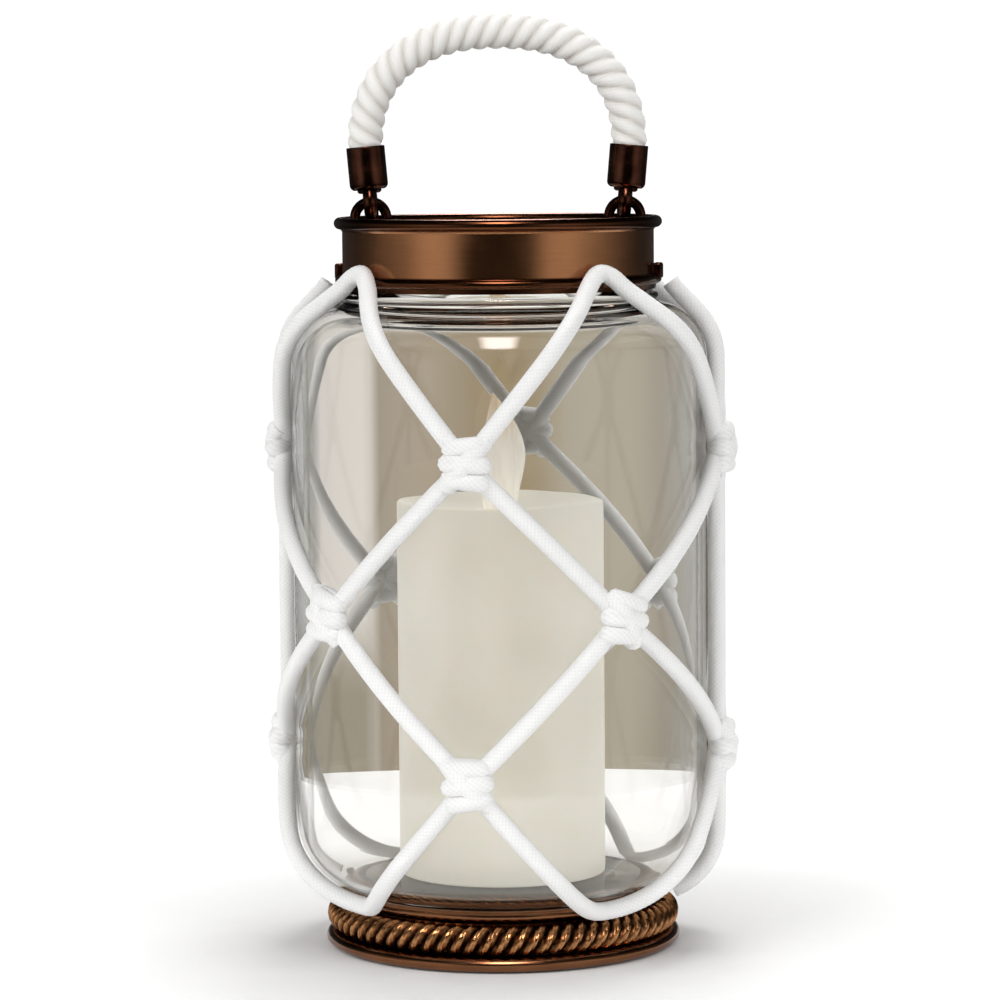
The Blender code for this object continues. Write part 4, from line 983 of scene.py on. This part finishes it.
def make_ferrule(word, side):
    """Turned ferrule with a lip and a round foot, and the link it hangs by."""
    inner = FERRULE_R - FERRULE_WALL
    floor = FERRULE_TOP - FERRULE_SOCKET
    round_r = FERRULE_R - FERRULE_NECK_R
    ease = 0.35 * MM
    outline = [(0.0, floor), (inner, floor), (inner, FERRULE_TOP - ease)]
    outline += arc(inner + ease, FERRULE_TOP - ease, ease, 180, 90, 3)
    outline += arc(FERRULE_R - ease, FERRULE_TOP - ease, ease, 90, 0, 3)
    outline += arc(FERRULE_NECK_R, FERRULE_FOOT + round_r + 1.2 * MM, round_r, 0, -70, 8)
    outline += arc(FERRULE_NECK_R + 0.4 * MM, FERRULE_FOOT + 0.9 * MM, 0.9 * MM, 110, 200, 5)
    outline += [(3.6 * MM, FERRULE_FOOT), (0.0, FERRULE_FOOT)]
    cup = spun(f"{word}_cup", outline, steps=64, edge=35.0)
    pivot = Vector((side * EYE_X, 0.0, HINGE.z))
    cup.matrix_world = Matrix.Translation(pivot) @ Matrix.Rotation(side * FERRULE_LEAN, 4, "Y")
    settle(cup)
    link = wire_ring(f"{word}_link", pivot, LINK_RING_R, LINK_WIRE_R,
                     Matrix.Rotation(math.pi / 2 + side * FERRULE_LEAN, 4, "Y"))
    ready(joined(f"{word}_ferrule_cup", [cup, link]), DARK_BRONZE, "handle", "dark_bronze", f"{word}_ferrule")


# ------------------------------------------------------------------ candle
def make_wax():
    """Cast wax pillar: soft uneven rim, shallow dish and a hole for the flame."""
    outer = WAX_HIGH.x
    inner = outer - 4.0 * MM
    top = WAX_HIGH.z
    dish = top - 4.6 * MM
    hole = 6.2 * MM
    roof = top - 8.0 * MM
    outline = [(hole, dish - 1.0 * MM), (hole + 0.8 * MM, dish), (outer * 0.45, dish + 0.3 * MM)]
    outline += [(outer * 0.68, dish + 0.8 * MM), (outer * 0.84, dish + 2.0 * MM)]
    outline += [(outer * 0.91, dish + 3.6 * MM)]
    outline += arc(outer - 1.5 * MM, top - 1.5 * MM, 1.5 * MM, 110, 0, 10)
    levels = 24
    side = top - WAX_LOW.z - 3.5 * MM
    outline += [(outer, top - 1.5 * MM - side * step / levels) for step in range(1, levels)]
    outline += arc(outer - 1.0 * MM, WAX_LOW.z + 1.0 * MM, 1.0 * MM, 0, -90, 4)
    outline += [(inner, WAX_LOW.z), (inner, roof), (hole, roof), outline[0]]
    wax = spun("wax_pillar", outline)
    for vertex in wax.data.vertices:
        spot = vertex.co
        radius = math.hypot(spot.x, spot.y)
        bearing = math.atan2(spot.y, spot.x)
        if radius > outer * 0.6 and spot.z > dish:
            share = min(1.0, (spot.z - dish) / (top - dish))
            spot.z -= share * MM * (0.35 + 0.25 * math.sin(3 * bearing + 0.7) + 0.10 * math.sin(8 * bearing))
    ready(wax, WAX, "candle", "wax", "candle_wax")


def make_flame():
    """Hollow moulded flame: a fat drop whose tip leans to the left, with two twisted flutes."""
    root, top, tip = FLAME_LOW.z, WAX_HIGH.z, FLAME_HIGH.z
    belly_r = FLAME_HIGH.x + 0.7 * MM
    rise = tip - top
    wall = 0.9 * MM
    root_r = 5.9 * MM
    shape = [(0.02, 0.745), (0.12, 0.84), (0.24, 0.95), (0.36, 1.0), (0.48, 0.955), (0.60, 0.82)]
    shape += [(0.72, 0.62), (0.83, 0.40), (0.91, 0.22), (0.965, 0.10)]
    side = [(share * belly_r, top + up * rise) for up, share in reversed(shape)]
    outer = [(0.0, tip)] + side + [(root_r, root)]
    inner = [(root_r - wall, root)] + [(share * belly_r - wall, top + up * rise) for up, share in shape[:7]]
    inner += [(0.0, top + 0.84 * rise)]
    flame = spun("flame_drop", outer + inner, steps=64, edge=60.0)
    only(flame)
    smoothing = flame.modifiers.new("smooth", "SUBSURF")
    smoothing.levels = 1
    smoothing.render_levels = 1
    bpy.ops.object.modifier_apply(modifier="smooth")
    for vertex in flame.data.vertices:
        spot = vertex.co
        up = max(0.0, (spot.z - top) / rise)
        bearing = math.atan2(spot.y, spot.x)
        flute = 1.0 - 0.10 * min(1.0, up * 4) * (0.5 + 0.5 * math.cos(2 * bearing - 5.0 * up + 0.8))
        spot.x = spot.x * flute - up ** 3.0 * 2.4 * MM + math.sin(up * math.pi) * 1.7 * MM
        spot.y = spot.y * flute * (1.0 - 0.2 * up)
    ready(flame, FLAME, "candle", "flame", "flame_bulb")


def dress_inner_parts():
    """Finishes for the parts of the frame that show as they are."""
    finishes = {
        "felt_pad": plain("black_felt", (0.012, 0.012, 0.013), (0.035, 0.035, 0.037), 0.93, 1800.0,
                          strength=0.6),
        # Painted light: both gaskets are given a pale colour so the glass floor and neck seen through the jar
        # look lighter
        "base_gasket": plain("gasket_painted_pale", (0.74, 0.73, 0.70), (0.80, 0.79, 0.76), 0.55, 500.0),
        "neck_gasket": plain("neck_gasket_painted_pale", (0.70, 0.69, 0.66), (0.76, 0.75, 0.72), 0.55, 500.0),
        "left_eye_nut": DARK_BRONZE,
        "right_eye_nut": DARK_BRONZE,
        "led_stem": plain("led_lens", (0.85, 0.80, 0.66), (0.92, 0.88, 0.78), 0.25, 200.0),
        "candle_base": plain("ivory_plastic", (0.74, 0.71, 0.63), (0.79, 0.76, 0.69), 0.5, 900.0),
        "battery_door": plain("door_plastic", (0.72, 0.69, 0.61), (0.77, 0.74, 0.67), 0.5, 900.0),
        "battery_box": plain("box_plastic", (0.66, 0.66, 0.63), (0.72, 0.72, 0.69), 0.5, 900.0),
        "power_switch": plain("switch_plastic", (0.02, 0.02, 0.02), (0.04, 0.04, 0.04), 0.42, 1200.0),
        "battery_1": plain("cell_wrap", (0.05, 0.055, 0.065), (0.09, 0.095, 0.11), 0.35, 120.0, 0.5),
        "battery_2": plain("cell_wrap_2", (0.05, 0.055, 0.065), (0.09, 0.095, 0.11), 0.35, 130.0, 0.5),
        "battery_contact": plain("nickel", (0.60, 0.58, 0.53), (0.72, 0.70, 0.66), 0.25, 400.0, 1.0),
        "circuit_board": plain("board_green", (0.010, 0.075, 0.030), (0.018, 0.110, 0.048), 0.4, 300.0),
        "door_screw": plain("zinc", (0.42, 0.42, 0.43), (0.60, 0.60, 0.61), 0.3, 600.0, 1.0),
    }
    for node, finish in finishes.items():
        dress(frame["nodes"][node], finish)


make_studio()
make_jar()
make_collar()
make_mouth()
make_base()
make_moulding()
make_net()
make_handle()
make_wax()
make_flame()
dress_inner_parts()
